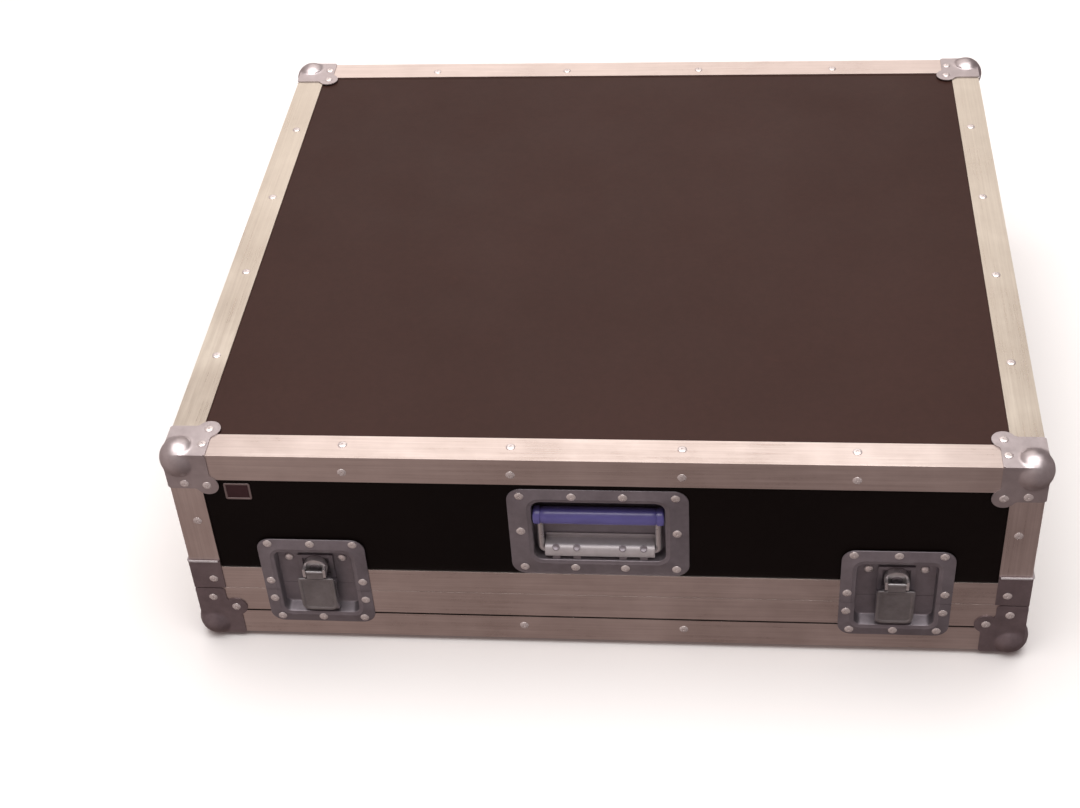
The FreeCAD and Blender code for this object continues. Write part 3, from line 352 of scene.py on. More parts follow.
def foam(name, colour, pale):
    """Open-cell foam: cells a millimetre or so across, darker in their sunken middles as painted shade."""
    finish = Finish(name, Roughness=0.95, Specular_IOR_Level=0.1)
    cells = finish.speckle(900)
    shade_of = finish.mix(0.35, finish.ramp(cells, (0.1, colour), (0.6, pale)),
                          finish.ramp(finish.noise(14, 4), (0.3, colour), (0.7, pale)))
    finish.set("Base Color", shade_of)
    finish.set("Normal", finish.bump(cells, 0.5 * MM, 0.8))
    return finish.material


def floor_finish():
    finish = Finish("studio_floor", Specular_IOR_Level=0.15)
    finish.set("Base Color", finish.ramp(finish.noise(2.5, 4), (0.3, (0.885,)), (0.7, (0.9,))))
    finish.set("Roughness", finish.ramp(finish.noise(30, 3), (0.3, (0.62,)), (0.7, (0.7,))))
    return finish.material


# The side film is a far darker copy of the brown film: painted shade on the sides.
BROWN = laminate("brown_laminate_film", (0.035, 0.0150, 0.0118), (0.042, 0.0182, 0.0145), 0.46, 0.14)
SHADED_SIDE_LAMINATE = laminate("shaded_side_laminate_film", (0.0036, 0.0019, 0.0017), (0.0060, 0.0032, 0.0028), 0.5, 0.07)
# The edging that runs front to back takes darker, warmer tones than the rest.
ALUMINIUM_TONES = (0.80, 0.71, 0.67), (0.60, 0.52, 0.485)
WARMER_DARKER_TONES = (0.72, 0.672, 0.585), (0.54, 0.492, 0.424)
MILL_LINES = {"x": (ALUMINIUM_TONES, (0.02, 1, 1)), "y": (WARMER_DARKER_TONES, (1, 0.02, 1)),
              "z": (ALUMINIUM_TONES, (1, 1, 0.02))}
ALUMINIUM = {axis: metal(f"mill_aluminium_{axis}", *tones, 0.33, stretch)
             for axis, (tones, stretch) in MILL_LINES.items()}
ZINC = metal("zinc_plated_sheet", (0.262, 0.237, 0.260), (0.188, 0.167, 0.186), 0.4,
             fine=90, streak=0.06, dent=0.2, metallic=0.72)
CORNER_ZINC = metal("zinc_plated_corner", (0.56, 0.51, 0.52), (0.42, 0.38, 0.39), 0.4,
                    fine=90, streak=0.07, metallic=0.95)
# A darker copy of the corner zinc for the base's corners and the lid's braces: painted shade.
SHADED_ZINC = metal("shaded_zinc_corner", (0.33, 0.28, 0.295), (0.22, 0.185, 0.2), 0.42,
                     fine=90, streak=0.07, metallic=0.95)
WING_ZINC = metal("worn_zinc", (0.32, 0.31, 0.32), (0.225, 0.215, 0.22), 0.36,
                  fine=110, streak=0.05, dent=0.12, metallic=0.85)
BRIGHT = metal("bright_zinc", (0.70, 0.68, 0.68), (0.56, 0.54, 0.55), 0.3,
               fine=120, streak=0.05, dent=0.12, metallic=0.9)
HOOD_ZINC = metal("satin_zinc", (0.50, 0.475, 0.49), (0.41, 0.385, 0.395), 0.45,
                  fine=150, streak=0.05, dent=0.1, metallic=0.5)
RIVET = metal("bare_rivet", (0.84, 0.79, 0.78), (0.66, 0.61, 0.6), 0.3,
              fine=260, streak=0.06, dent=0.1, metallic=0.8)
PLATE = metal("dull_plate", (0.40, 0.34, 0.34), (0.30, 0.25, 0.25), 0.42, (0.05, 1, 1), fine=300)
FIELD = laminate("plate_field", (0.030, 0.009, 0.011), (0.042, 0.014, 0.017), 0.4, 0.2)
GRIP = vinyl("violet_vinyl", (0.088, 0.079, 0.268), (0.064, 0.055, 0.205))
FOAM = foam("charcoal_foam", (0.012, 0.012, 0.014), (0.045, 0.045, 0.05))


# ------------------------------------------------------------ panels, edging

def finish_panels():
    """The CAD panels stay as they are, with film: brown on top and below, and on the sides a far darker
    copy of the same film as painted shade.
    """
    for name, node in frame["nodes"].items():
        if name.endswith("_panel"):
            top = name in ("lid_top_panel", "base_bottom_panel")
            node.data.materials.clear()
            node.data.materials.append(BROWN if top else SHADED_SIDE_LAMINATE)


def build_edging():
    """Double-angle edging and the tongue and groove rims, with mill lines along each length."""
    for half in ("lid", "base"):
        for side, axis in (("front", "x"), ("back", "x"), ("left", "y"), ("right", "y")):
            edge = "lid_top_edge" if half == "lid" else "base_edge"
            for node in (f"{edge}_{side}", f"{half}_rim_{side}"):
                refined(node, half, ALUMINIUM[axis], EDGING_ROUND, 3)
    refined("lid_corner_edges", "lid", ALUMINIUM["z"], EDGING_ROUND, 3)


# --------------------------------------------------------------- ball corners

# Each face of the fitting lies on the case, with the ball's centre equally far in from all three
# faces, a strip along each edge and one round lobe for a rivet on the diagonal.
BALL = {"centre": 11.5 * MM, "radius": 18.5 * MM, "strip": 28 * MM, "lobe": 36 * MM,
        "lobe_radius": 11 * MM}
SHORT_LEG, TALL_LEG = 40 * MM, 61.3 * MM


def smoothstep(value):
    value = min(max(value, 0.0), 1.0)
    return value * value * (3 - 2 * value)


def corner_outline(leg):
    """Half of a face's outline, from the ball's own corner out along a leg to the lobe."""
    start, strip, lobe, radius = -SHEET, BALL["strip"], BALL["lobe"], BALL["lobe_radius"]
    near, far, tip = 16 * MM, 6, 4 * MM
    edge = [(start + (near - start) * step / 12, start) for step in range(12)]
    edge += [(near + (leg - tip / 2 - near) * step / far, start) for step in range(far + 1)]
    if leg < lobe + radius:
        edge += [(leg, start + tip / 2), (leg, strip * 0.33), (leg, strip * 0.66), (leg, strip * 0.84)]
        edge += arc((lobe, lobe), radius, -62, 45, 10)
        return edge
    edge += [(leg, start + tip / 2), (leg, strip * 0.33), (leg, strip * 0.66)]
    edge += arc((leg - tip, strip - tip), tip, 0, 90, 5)
    rise = math.asin((strip + 1.5 * MM - lobe) / radius)
    edge.append((lobe + radius * math.cos(rise) + 3 * MM, strip))
    edge += arc((lobe, lobe), radius, math.degrees(rise), 45, 7)
    return edge


def ball_point(a, b):
    """A point of the face bulged to the ball, in the corner's own coordinates."""
    centre, radius = BALL["centre"], BALL["radius"]
    turn_in, crease, reach, fall = 5 * MM, 0.35 * MM, 32 * MM, 8 * MM
    point, middle = Vector((a, b, -SHEET)), Vector((centre,) * 3)
    away = point - middle
    distance = away.length
    near_corner = smoothstep((centre - a) / turn_in) * smoothstep((centre - b) / turn_in)
    blended = 0.5 * (distance + radius + math.hypot(distance - radius, 2 * crease))
    wanted = near_corner * radius + (1 - near_corner) * blended
    fade = smoothstep((reach - distance) / fall)
    return middle + away * (1 + (wanted / distance - 1) * fade)


def corner_face(first_leg, second_leg):
    """One face of the fitting, as rings of points that grow from over the ball's middle."""
    second = [(b, a) for a, b in reversed(corner_outline(second_leg)[1:-1])]
    ring = corner_outline(first_leg) + second
    centre, dome, last_dome_ring = BALL["centre"], 17.5 * MM, 12
    shares = [step / last_dome_ring for step in range(1, last_dome_ring + 1)] + [1.35, 1.7, 2.0]
    points = [tuple(ball_point(centre, centre))]
    for share in shares:
        for a, b in ring:
            reach = math.hypot(a - centre, b - centre)
            start = min(dome, reach * 0.8)
            distance = share * start if share <= 1 else start + (reach - start) * (share - 1)
            point = (centre + (a - centre) * distance / reach, centre + (b - centre) * distance / reach)
            points.append(tuple(ball_point(*point)))
    count = len(ring)
    faces = [(0, 1 + step, 1 + (step + 1) % count) for step in range(count)]
    faces += rows_of_quads(len(shares), count, start=1)
    return points, faces


def corner_shell(upright):
    """Three faces of a ball corner, as one sheet, with the case towards +X +Y +Z."""
    around = Matrix.Rotation(math.radians(120), 4, Vector((1, 1, 1)))
    return together(corner_face(SHORT_LEG, SHORT_LEG),
                    moved(corner_face(SHORT_LEG, upright), around),
                    moved(corner_face(upright, SHORT_LEG), around @ around))


def build_ball_corners():
    # The base's corners get a darker copy of the lid's corner zinc: painted shade.
    for half, level, rise, upright, material in (("base", BASE_LOW, 1, TALL_LEG, SHADED_ZINC),
                                                 ("lid", LID_HIGH, -1, SHORT_LEG, CORNER_ZINC)):
        shell = corner_shell(upright)
        copies = []
        for x, turn_x in ((-HALF_WIDTH, 1), (HALF_WIDTH, -1)):
            for y, turn_y in ((FRONT, 1), (BACK, -1)):
                seat = Matrix.Translation((x, y, level)) @ Matrix.Diagonal((turn_x, turn_y, rise, 1))
                copies.append(moved(shell, seat))
        piece = make_piece(f"{half}_pressed_corners", together(*copies), half,
                           [f"{half}_ball_corners"], material)
        face_outwards(piece)
        sheet = piece.modifiers.new("sheet", "SOLIDIFY")
        sheet.thickness = SHEET
        sheet.offset = -1
        soften(piece, CORNER_ROUND, 2, 40)


def face_outwards(piece):
    """Turn the faces of an open sheet away from the middle of the case."""
    middle = Vector((0, (FRONT + BACK) / 2, (LID_HIGH + BASE_LOW) / 2))
    work = bmesh.new()
    work.from_mesh(piece.data)
    for face in work.faces:
        away = face.calc_center_median() - middle
        scaled = Vector((away.x / HALF_WIDTH, away.y / BACK, away.z / (LID_HIGH / 2)))
        if face.normal.dot(scaled) < 0:
            face.normal_flip()
    work.to_mesh(piece.data)
    work.free()


# --------------------------------------------------------------------- rivets

def rivet_shape():
    """A domed pop rivet about +Z: head below, the hollow of its pulled stem in the middle."""
    head, rise, hole = 4.3 * MM, 1.1 * MM, 1.15 * MM
    shank, length = 2.3 * MM, 12.2 * MM
    profile = [(length, shank), (0, shank), (0, head - 0.15 * MM), (-0.12 * MM, head)]
    for height, radius in arc((0, 0), 1, 12, 74, 7):
        profile.append((-rise * radius, hole + (head - hole) * height))
    profile += [(-rise * 0.93, hole * 0.95), (-rise * 0.35, hole * 0.8), (-rise * 0.45, hole * 0.35)]
    return lathe(profile, 20)


def rivet_seats(node):
    """Seat and direction of each rivet, read from the separate solids of a CAD node."""
    work = bmesh.new()
    work.from_mesh(frame["nodes"][node].data)
    bmesh.ops.remove_doubles(work, verts=work.verts, dist=FINE_WELD)
    seats, seen = [], set()
    for first in work.verts:
        if first in seen:
            continue
        island, waiting = [], [first]
        seen.add(first)
        while waiting:
            vertex = waiting.pop()
            island.append(vertex.co.copy())
            for edge in vertex.link_edges:
                other = edge.other_vert(vertex)
                if other not in seen:
                    seen.add(other)
                    waiting.append(other)
        seats.append(seat_of(island))
    work.free()
    return seats


def seat_of(island):
    low = Vector(min(point[axis] for point in island) for axis in range(3))
    high = Vector(max(point[axis] for point in island) for axis in range(3))
    middle, spans = (low + high) / 2, high - low
    axis = max(range(3), key=lambda number: spans[number])
    across = [number for number in range(3) if number != axis]
    widest = max(math.hypot(*(point[side] - middle[side] for side in across)) for point in island)
    rim = [point[axis] for point in island
           if math.hypot(*(point[side] - middle[side] for side in across)) > widest * 0.98]
    seat = middle.copy()
    seat[axis] = sum(rim) / len(rim)
    inward = Vector((0, 0, 0))
    inward[axis] = 1 if seat[axis] < middle[axis] else -1
    return seat, inward


def build_rivets():
    template = rivet_shape()
    for half in ("lid", "base"):
        copies = []
        for number, (seat, inward) in enumerate(rivet_seats(f"{half}_rivets")):
            aim = Vector((0, 0, 1)).rotation_difference(inward).to_matrix().to_4x4()
            lean = Matrix.Rotation(math.radians(1.6 * math.sin(number * 2.4)), 4, "X")
            copies.append(moved(template, Matrix.Translation(seat) @ aim @ lean))
        piece = make_piece(f"{half}_pop_rivets", together(*copies), half, [f"{half}_rivets"],
                           RIVET)
        shade(piece, 50)


# --------------------------------------------------------------- pressed dishes

def pressed_dish(flange, well, front, sheet, deep, centre=0.0, fillet=1.6 * MM, sill=0.0):
    """A flange pressed into a well, as a closed sheet.  Depths are behind the front face.

    The lower wall of the well rises by the sill towards the back.
    """
    def level(depth):
        return FRONT + depth

    bed = (well[0], well[1] + sill, *well[2:])
    loops = []
    for along, away in arc((0, 0), fillet, 0, 90, 4):
        loops.append(rounded_loop(grown(bed, -fillet + away), level(deep - fillet + along), centre))
    mouth = 1.3 * MM
    for along, away in arc((0, 0), mouth, 180, 90, 4):
        loops.append(rounded_loop(grown(well, mouth + along), level(front + mouth - away), centre))
    edge = 0.4 * MM
    rib = 1.1 * MM
    rib_at = mouth + 2.2 * MM
    for step, rise in ((0, 0), (0.25, 0.5), (0.5, 0.72), (0.75, 0.5), (1, 0)):
        loops.append(rounded_loop(grown(well, rib_at + rib * 1.6 * step),
                                  level(front - rise * 0.5 * MM), centre))
    loops.append(rounded_loop(grown(flange, -edge), level(front), centre))
    loops.append(rounded_loop(grown(flange, -edge * 0.3), level(front + edge * 0.3), centre))
    loops.append(rounded_loop(flange, level(front + edge), centre))
    loops.append(rounded_loop(flange, level(front + sheet), centre))
    loops.append(rounded_loop(grown(well, sheet), level(front + sheet), centre))
    loops.append(rounded_loop(grown(bed, sheet), level(deep + sheet - fillet), centre))
    loops.append(rounded_loop(grown(bed, sheet - fillet), level(deep + sheet), centre))
    return stacked(loops)


def cut_level(shape, height, keep_upper):
    """The part of a solid above or below a level, closed again at the cut."""
    work = bmesh.new()
    mesh = bpy.data.meshes.new("cutting")
    mesh.from_pydata(shape[0], [], shape[1])
    work.from_mesh(mesh)
    bmesh.ops.recalc_face_normals(work, faces=work.faces)
    everything = list(work.verts) + list(work.edges) + list(work.faces)
    done = bmesh.ops.bisect_plane(work, geom=everything, plane_co=(0, 0, height),
                                  plane_no=(0, 0, 1), clear_inner=keep_upper,
                                  clear_outer=not keep_upper)
    rim = [item for item in done["geom_cut"] if isinstance(item, bmesh.types.BMEdge)]
    bmesh.ops.edgeloop_fill(work, edges=rim)
    work.to_mesh(mesh)
    work.free()
    points = [tuple(vertex.co) for vertex in mesh.vertices]
    faces = [tuple(face.vertices) for face in mesh.polygons]
    bpy.data.meshes.remove(mesh)
    return points, faces


TO_THE_BACK = Matrix.Rotation(math.radians(-90), 4, "X")
ALONG_X = Matrix.Rotation(math.radians(90), 4, "Y")


def facing_lathe(profile, x, z, steps=32):
    """A turned shape about an axis that runs to the back.  Heights are depths."""
    seat = Matrix.Translation((x, FRONT, z)) @ TO_THE_BACK
    return moved(lathe(profile, steps), seat)


def build_studs(side, centre, level):
    """Two domed studs on the floor of the well, either side of the pivot."""
    aside = 26 * MM
    profile = [(9.8 * MM, 4.2 * MM), (8.8 * MM, 4.2 * MM), (8.2 * MM, 3.6 * MM), (7.7 * MM, 2.2 * MM),
               (7.5 * MM, 0.7 * MM)]
    studs = [facing_lathe(profile, centre + offset, level, 24) for offset in (-aside, aside)]
    piece = make_piece(f"latch_studs_{side}", together(*studs), "lid", [], RIVET)
    shade(piece, 50)


def build_latch_dishes(side, centre):
    """One pressing in two halves: the lid's with the pivot post, the base's with the hook's bar."""
    lid_low, lid_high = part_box(f"latch_dish_{side}")
    base_low, base_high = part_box(f"keeper_dish_{side}")
    half, bend, well_half, well_bend = (lid_high.x - lid_low.x) / 2, 13 * MM, 37 * MM, 7 * MM
    well_low, well_high = base_low.z + 13.5 * MM, lid_high.z - 17 * MM
    flange = (half, base_low.z, lid_high.z, bend, bend)
    well = (well_half, well_low, well_high, well_bend, well_bend)
    dish = pressed_dish(flange, well, -SHEET, SHEET, 9.6 * MM, centre, sill=4 * MM)
    rotor_z = JOINTS[f"latch_{side}_turn"]["pos_m"][2]
    post = facing_lathe([(10 * MM, 4 * MM), (2.1 * MM, 4 * MM), (2.1 * MM, 5.6 * MM),
                         (1.7 * MM, 5.6 * MM), (1.35 * MM, 4.9 * MM), (1.2 * MM, 3.2 * MM),
                         (1.2 * MM, 1.6 * MM), (1.5 * MM, 1.2 * MM)], centre, rotor_z)
    build_studs(side, centre, well_high - 16 * MM)
    upper = together(cut_level(dish, lid_low.z, True), post)
    piece = make_piece(f"latch_dish_{side}_pressed", upper, "lid", [f"latch_dish_{side}"], ZINC)
    shade(piece, 45)
    bar_half, bar_bend = 16 * MM, 1.2 * MM
    bar_low, bar_high = base_low.z + 24.5 * MM, base_low.z + 27.5 * MM
    bar = [rounded_loop((bar_half - trim, bar_low + trim, bar_high - trim, bar_bend, bar_bend),
                        FRONT + depth, centre)
           for trim, depth in ((0, 10 * MM), (0, 5.8 * MM), (0.25 * MM, 5.2 * MM), (0.8 * MM, 5 * MM))]
    lower = together(cut_level(dish, base_high.z, False), stacked(bar))
    piece = make_piece(f"keeper_dish_{side}_pressed", lower, "base", [f"keeper_dish_{side}"], ZINC)
    shade(piece, 45)


# -------------------------------------------------------------- latch mechanism

def build_wing(side, centre):
    """The folding thumb plate: a pressed tray rim, a neck and a rolled barrel."""
    low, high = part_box(f"latch_wing_{side}")
    axis = Vector(JOINTS[f"latch_{side}_wing"]["pos_m"])
    half, top, half_thick = (high.x - low.x) / 2, axis.z - 8 * MM, 1.0 * MM
    rim = (half, low.z, top, 7 * MM, 1.6 * MM)
    front, back = axis.y - half_thick, axis.y + half_thick
    soft, band, sink = 0.45 * MM, 3.0 * MM, 0.75 * MM
    loops = [rounded_loop(grown(rim, -band - 0.7 * MM), back - 0.25 * MM, centre),
             rounded_loop(grown(rim, -band), back, centre),
             rounded_loop(grown(rim, -soft), back, centre),
             rounded_loop(rim, back - soft, centre), rounded_loop(rim, front + soft, centre),
             rounded_loop(grown(rim, -soft * 0.3), front + soft * 0.3, centre),
             rounded_loop(grown(rim, -soft), front, centre),
             rounded_loop(grown(rim, -band + 0.5 * MM), front, centre),
             rounded_loop(grown(rim, -band), front + sink * 0.3, centre),
             rounded_loop(grown(rim, -band - 0.6 * MM), front + sink, centre)]
    neck_half, barrel_radius, ease = 8.2 * MM, 1.9 * MM, 0.3 * MM
    neck = (neck_half, top - 1 * MM, axis.z, 0.4 * MM, 0.4 * MM)
    neck_loops = [rounded_loop(neck, back, centre), rounded_loop(neck, front, centre)]
    barrel = moved(lathe([(-neck_half, barrel_radius - ease), (-neck_half + ease, barrel_radius),
                          (neck_half - ease, barrel_radius), (neck_half, barrel_radius - ease)], 24),
                   Matrix.Translation((centre, axis.y, axis.z)) @ ALONG_X)
    piece = make_piece(f"latch_wing_{side}_pressed", together(stacked(loops), stacked(neck_loops), barrel),
                       f"wing_{side}", [f"latch_wing_{side}"], WING_ZINC)
    shade(piece, 35)


def build_mechanism(side):
    """The turning hub and wing pin, the plate that the hub lifts, and the hook on that plate."""
    for node, body in ((f"latch_rotor_{side}", f"rotor_{side}"),
                       (f"latch_wing_pin_{side}", f"rotor_{side}"),
                       (f"draw_plate_{side}", f"draw_{side}"),
                       (f"latch_hook_{side}", f"hook_{side}")):
        material = BRIGHT if body == f"rotor_{side}" else ZINC
        refined(node, body, material, HARDWARE_ROUND)


# --------------------------------------------------------------------- handle

def build_handle_dish():
    low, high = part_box("handle_dish")
    bend, well_half, well_bend = 14 * MM, 61.5 * MM, 9 * MM
    flange = (high.x, low.z, high.z, bend, bend)
    well = (well_half, low.z + 18.5 * MM, high.z - 16 * MM, well_bend, well_bend)
    inset = low.y - FRONT
    dish = pressed_dish(flange, well, inset, SHEET, high.y - FRONT - SHEET, 0.0, 2.4 * MM)
    piece = make_piece("handle_dish_pressed", dish, "lid", ["handle_dish"], ZINC)
    shade(piece, 45)


def build_spring_bracket():
    """The bracket, with four dimples on its hood and a tab below each of them, both in a darker zinc than
    the hood as painted shade.
    """
    refined("handle_spring_bracket", "lid", HOOD_ZINC, 0.4 * MM)
    hood_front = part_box("handle_spring_bracket")[0].y
    pivot = Vector(JOINTS["handle_swing"]["pos_m"])
    radius, lean = pivot.y - hood_front, math.radians(50)
    aim = Matrix.Rotation(math.radians(90) - lean, 4, "X")
    dimple = [(-0.6 * MM, 3.4 * MM), (0.2 * MM, 3.4 * MM), (0.55 * MM, 3.1 * MM), (0.6 * MM, 2.8 * MM),
              (0.35 * MM, 2.1 * MM), (0.12 * MM, 1.1 * MM)]
    tab = (3.6 * MM, pivot.z - 8.7 * MM, pivot.z - 5 * MM, 1.2 * MM, 0.4 * MM)
    tab_back, tab_front = pivot.y - 4.4 * MM, pivot.y - 5.6 * MM
    extras = []
    for x in (-41 * MM, -21.5 * MM, 21.5 * MM, 41 * MM):
        seat = Matrix.Translation((x, pivot.y - radius * math.cos(lean), pivot.z + radius * math.sin(lean)))
        extras.append(moved(lathe(dimple, 24), seat @ aim))
        extras.append(stacked([rounded_loop(tab, tab_back, x), rounded_loop(tab, tab_front, x)]))
    # The dimples and tabs get the darker sheet zinc rather than the hood's own: painted shade, so the
    # dimples read as dark dents.
    piece = make_piece("spring_bracket_shaded_pressings", together(*extras), "lid", [], ZINC)
    shade(piece, 45)


def build_springs():
    """Two torsion springs, coiled round the pivot bar to the left and right of its middle."""
    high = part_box("handle_springs")[1]
    pivot = Vector(JOINTS["handle_swing"]["pos_m"])
    radius, wire = high.z - pivot.z, 0.85 * MM
    near, far = 14 * MM, high.x
    turns, steps = 11, 20
    path = []
    for step in range(turns * steps + 1):
        turn = 2 * math.pi * step / steps
        along = near + wire + (far - near - 2 * wire) * step / (turns * steps)
        path.append((along, pivot.y - (radius - wire) * math.cos(turn),
                     pivot.z + (radius - wire) * math.sin(turn)))
    coil = tube(path, wire, 8)
    other = moved(coil, Matrix.Diagonal((-1, 1, 1, 1)))
    piece = make_piece("handle_spring_coils", together(coil, other), "lid", ["handle_springs"],
                       BRIGHT)
    shade(piece, 60)


def build_bail():
    """One bent rod: pivot bar, two arms and the bar inside the grip."""
    pivot = Vector(JOINTS["handle_swing"]["pos_m"])
    low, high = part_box("handle_bail")
    radius = (high.y - low.y) / 2
    half, top = high.x - radius, high.z - radius
    foot_bend, top_bend = 4 * MM, 8 * MM
    right = [(1 * MM, pivot.z)]
    right += arc((half - foot_bend, pivot.z + foot_bend), foot_bend, -90, 0, 8)
    right += arc((half - top_bend, top - top_bend), top_bend, 0, 90, 10)
    left = [(-x, z) for x, z in reversed(right)]
    path = [(x, pivot.y, z) for x, z in right + left]
    piece = make_piece("handle_bail_rod", tube(path, radius, 24), "handle", ["handle_bail"], BRIGHT)
    shade(piece, 50)


def build_grip():
    """A moulded sleeve with a collar at each end, a little fuller towards its middle."""
    low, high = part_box("handle_grip")
    middle, half, radius = (low + high) / 2, (high.x - low.x) / 2, (high.z - low.z) / 2
    collar, groove, end_round, swell = 7 * MM, 0.5 * MM, 2.3 * MM, 0.3 * MM
    inner = radius - 0.55 * MM
    side = [(0, radius * 0.45), (0.1 * MM, radius - 2.2 * MM)]
    side += [(end_round - end_round * math.cos(math.radians(turn)),
              radius - end_round + end_round * math.sin(math.radians(turn))) for turn in (15, 35, 60, 90)]
    side += [(collar - 1 * MM, radius), (collar - 0.4 * MM, radius - 0.15 * MM),
             (collar, inner - groove), (collar + 0.8 * MM, inner - groove), (collar + 1.3 * MM, inner)]
    profile = [(-half + height, width) for height, width in side]
    rings, plain_end = 24, half - collar - 1.5 * MM
    for step in range(1, rings):
        along = -plain_end + 2 * plain_end * step / rings
        profile.append((along, inner + swell * math.cos(math.pi * along / half / 2)))
    profile += [(half - height, width) for height, width in reversed(side)]
    seat = Matrix.Translation(middle) @ ALONG_X
    piece = make_piece("handle_grip_sleeve", moved(lathe(profile, 40), seat), "handle",
                       ["handle_grip"], GRIP)
    shade(piece, 50)


def build_name_plate():
    """A blank plate: a bright rolled border round a dull red field."""
    low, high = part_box("name_plate")
    centre, bend = (low.x + high.x) / 2, 2 * MM
    ease, border, sink = 0.25 * MM, 1.7 * MM, 0.4 * MM
    rim = ((high.x - low.x) / 2, low.z, high.z, bend, bend)
    loops = [rounded_loop(rim, high.y, centre), rounded_loop(rim, low.y + ease, centre),
             rounded_loop(grown(rim, -ease), low.y, centre),
             rounded_loop(grown(rim, -border), low.y, centre),
             rounded_loop(grown(rim, -border - sink), low.y + sink, centre)]
    piece = make_piece("name_plate_blank", stacked(loops), "lid", ["name_plate"], PLATE)
    shade(piece, 35)
    inner = grown(rim, -2.2 * MM)
    loops = [rounded_loop(inner, low.y + 0.6 * MM, centre),
             rounded_loop(inner, low.y + 0.3 * MM, centre),
             rounded_loop(grown(inner, -0.1 * MM), low.y + ease, centre)]
    piece = make_piece("name_plate_field", stacked(loops), "lid", [], FIELD)
    shade(piece, 35)


# ------------------------------------------------------------ back and inside

def build_hinges():
    for node, body in (("hinge_lid_leaves", "lid"), ("hinge_base_leaves", "base"),
                       ("hinge_pins", "base")):
        refined(node, body, ZINC, HARDWARE_ROUND)
    # The braces get the darker copy of the corner zinc: painted shade.
    refined("lid_rim_braces", "lid", SHADED_ZINC, CORNER_ROUND)
    build_brace_lips()


def build_brace_lips():
    """A rolled lip along the top of each brace."""
    low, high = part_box("lid_rim_braces")
    radius, reach, bend = 1.3 * MM, 29.5 * MM, 2.2 * MM
    lips = []
    for x, turn_x in ((low.x, 1), (high.x, -1)):
        for y, turn_y in ((low.y, 1), (high.y, -1)):
            path = [(x, y + turn_y * reach), (x, y + turn_y * bend)]
            path += [(x + turn_x * bend * (1 - math.cos(turn)), y + turn_y * bend * (1 - math.sin(turn)))
                     for turn in (math.pi / 8, math.pi / 4, math.pi * 3 / 8)]
            path += [(x + turn_x * bend, y), (x + turn_x * reach, y)]
            lips.append(tube([(a, b, high.z - radius) for a, b in path], radius, 12))
    piece = make_piece("brace_lips", together(*lips), "lid", [], HOOD_ZINC)
    shade(piece, 50)


def foam_slab(low, high, bulge, facing, pitch=0.0):
    """A soft block with rounded edges and a lumpy face towards the inside, waved if it has a pitch."""
    step, round_off, lump_size, lump_height = 5 * MM, 2.5 * MM, 22, 0.5 * MM
    spans = high - low
    axis = max(range(3), key=lambda number: abs(facing[number]))
    first, second = [number for number in range(3) if number != axis]
    counts = [max(int(spans[number] / step), 4) for number in (first, second)]
    inner, outer = (high, low) if facing[axis] > 0 else (low, high)
    points = []
    for row in range(counts[0] + 1):
        for column in range(counts[1] + 1):
            a = low[first] + spans[first] * row / counts[0]
            b = low[second] + spans[second] * column / counts[1]
            inset = min(a - low[first], high[first] - a, b - low[second], high[second] - b)
            ease = smoothstep(inset / (4 * round_off))
            sag = round_off * (1 - math.sqrt(max(0.0, 1 - max(0.0, 1 - inset / round_off) ** 2)))
            lump = noise.noise(Vector((a, b, axis * 3.1)) * lump_size) * lump_height * ease
            wave = 0.0
            if pitch:
                turn = math.pi * 2 / pitch
                wave = bulge * ease * (0.5 - 0.5 * math.sin(a * turn) * math.sin(b * turn))
            point = [0.0, 0.0, 0.0]
            point[first], point[second] = a, b
            point[axis] = inner[axis] - facing[axis] * (sag + wave + abs(lump))
            points.append(tuple(point))
    width = counts[1] + 1
    faces = [(row * width + column, row * width + column + 1,
              (row + 1) * width + column + 1, (row + 1) * width + column)
             for row in range(counts[0]) for column in range(counts[1])]
    border = list(range(width))
    border += [row * width + width - 1 for row in range(1, counts[0] + 1)]
    border += [counts[0] * width + column for column in range(width - 2, -1, -1)]
    border += [row * width for row in range(counts[0] - 1, 0, -1)]
    skirt = len(points)
    for index in border:
        point = list(points[index])
        point[axis] = outer[axis]
        points.append(tuple(point))
    count = len(border)
    for number, index in enumerate(border):
        after = (number + 1) % count
        faces.append((border[after], index, skirt + number, skirt + after))
    faces.append(tuple(range(skirt, skirt + count)))
    return points, faces


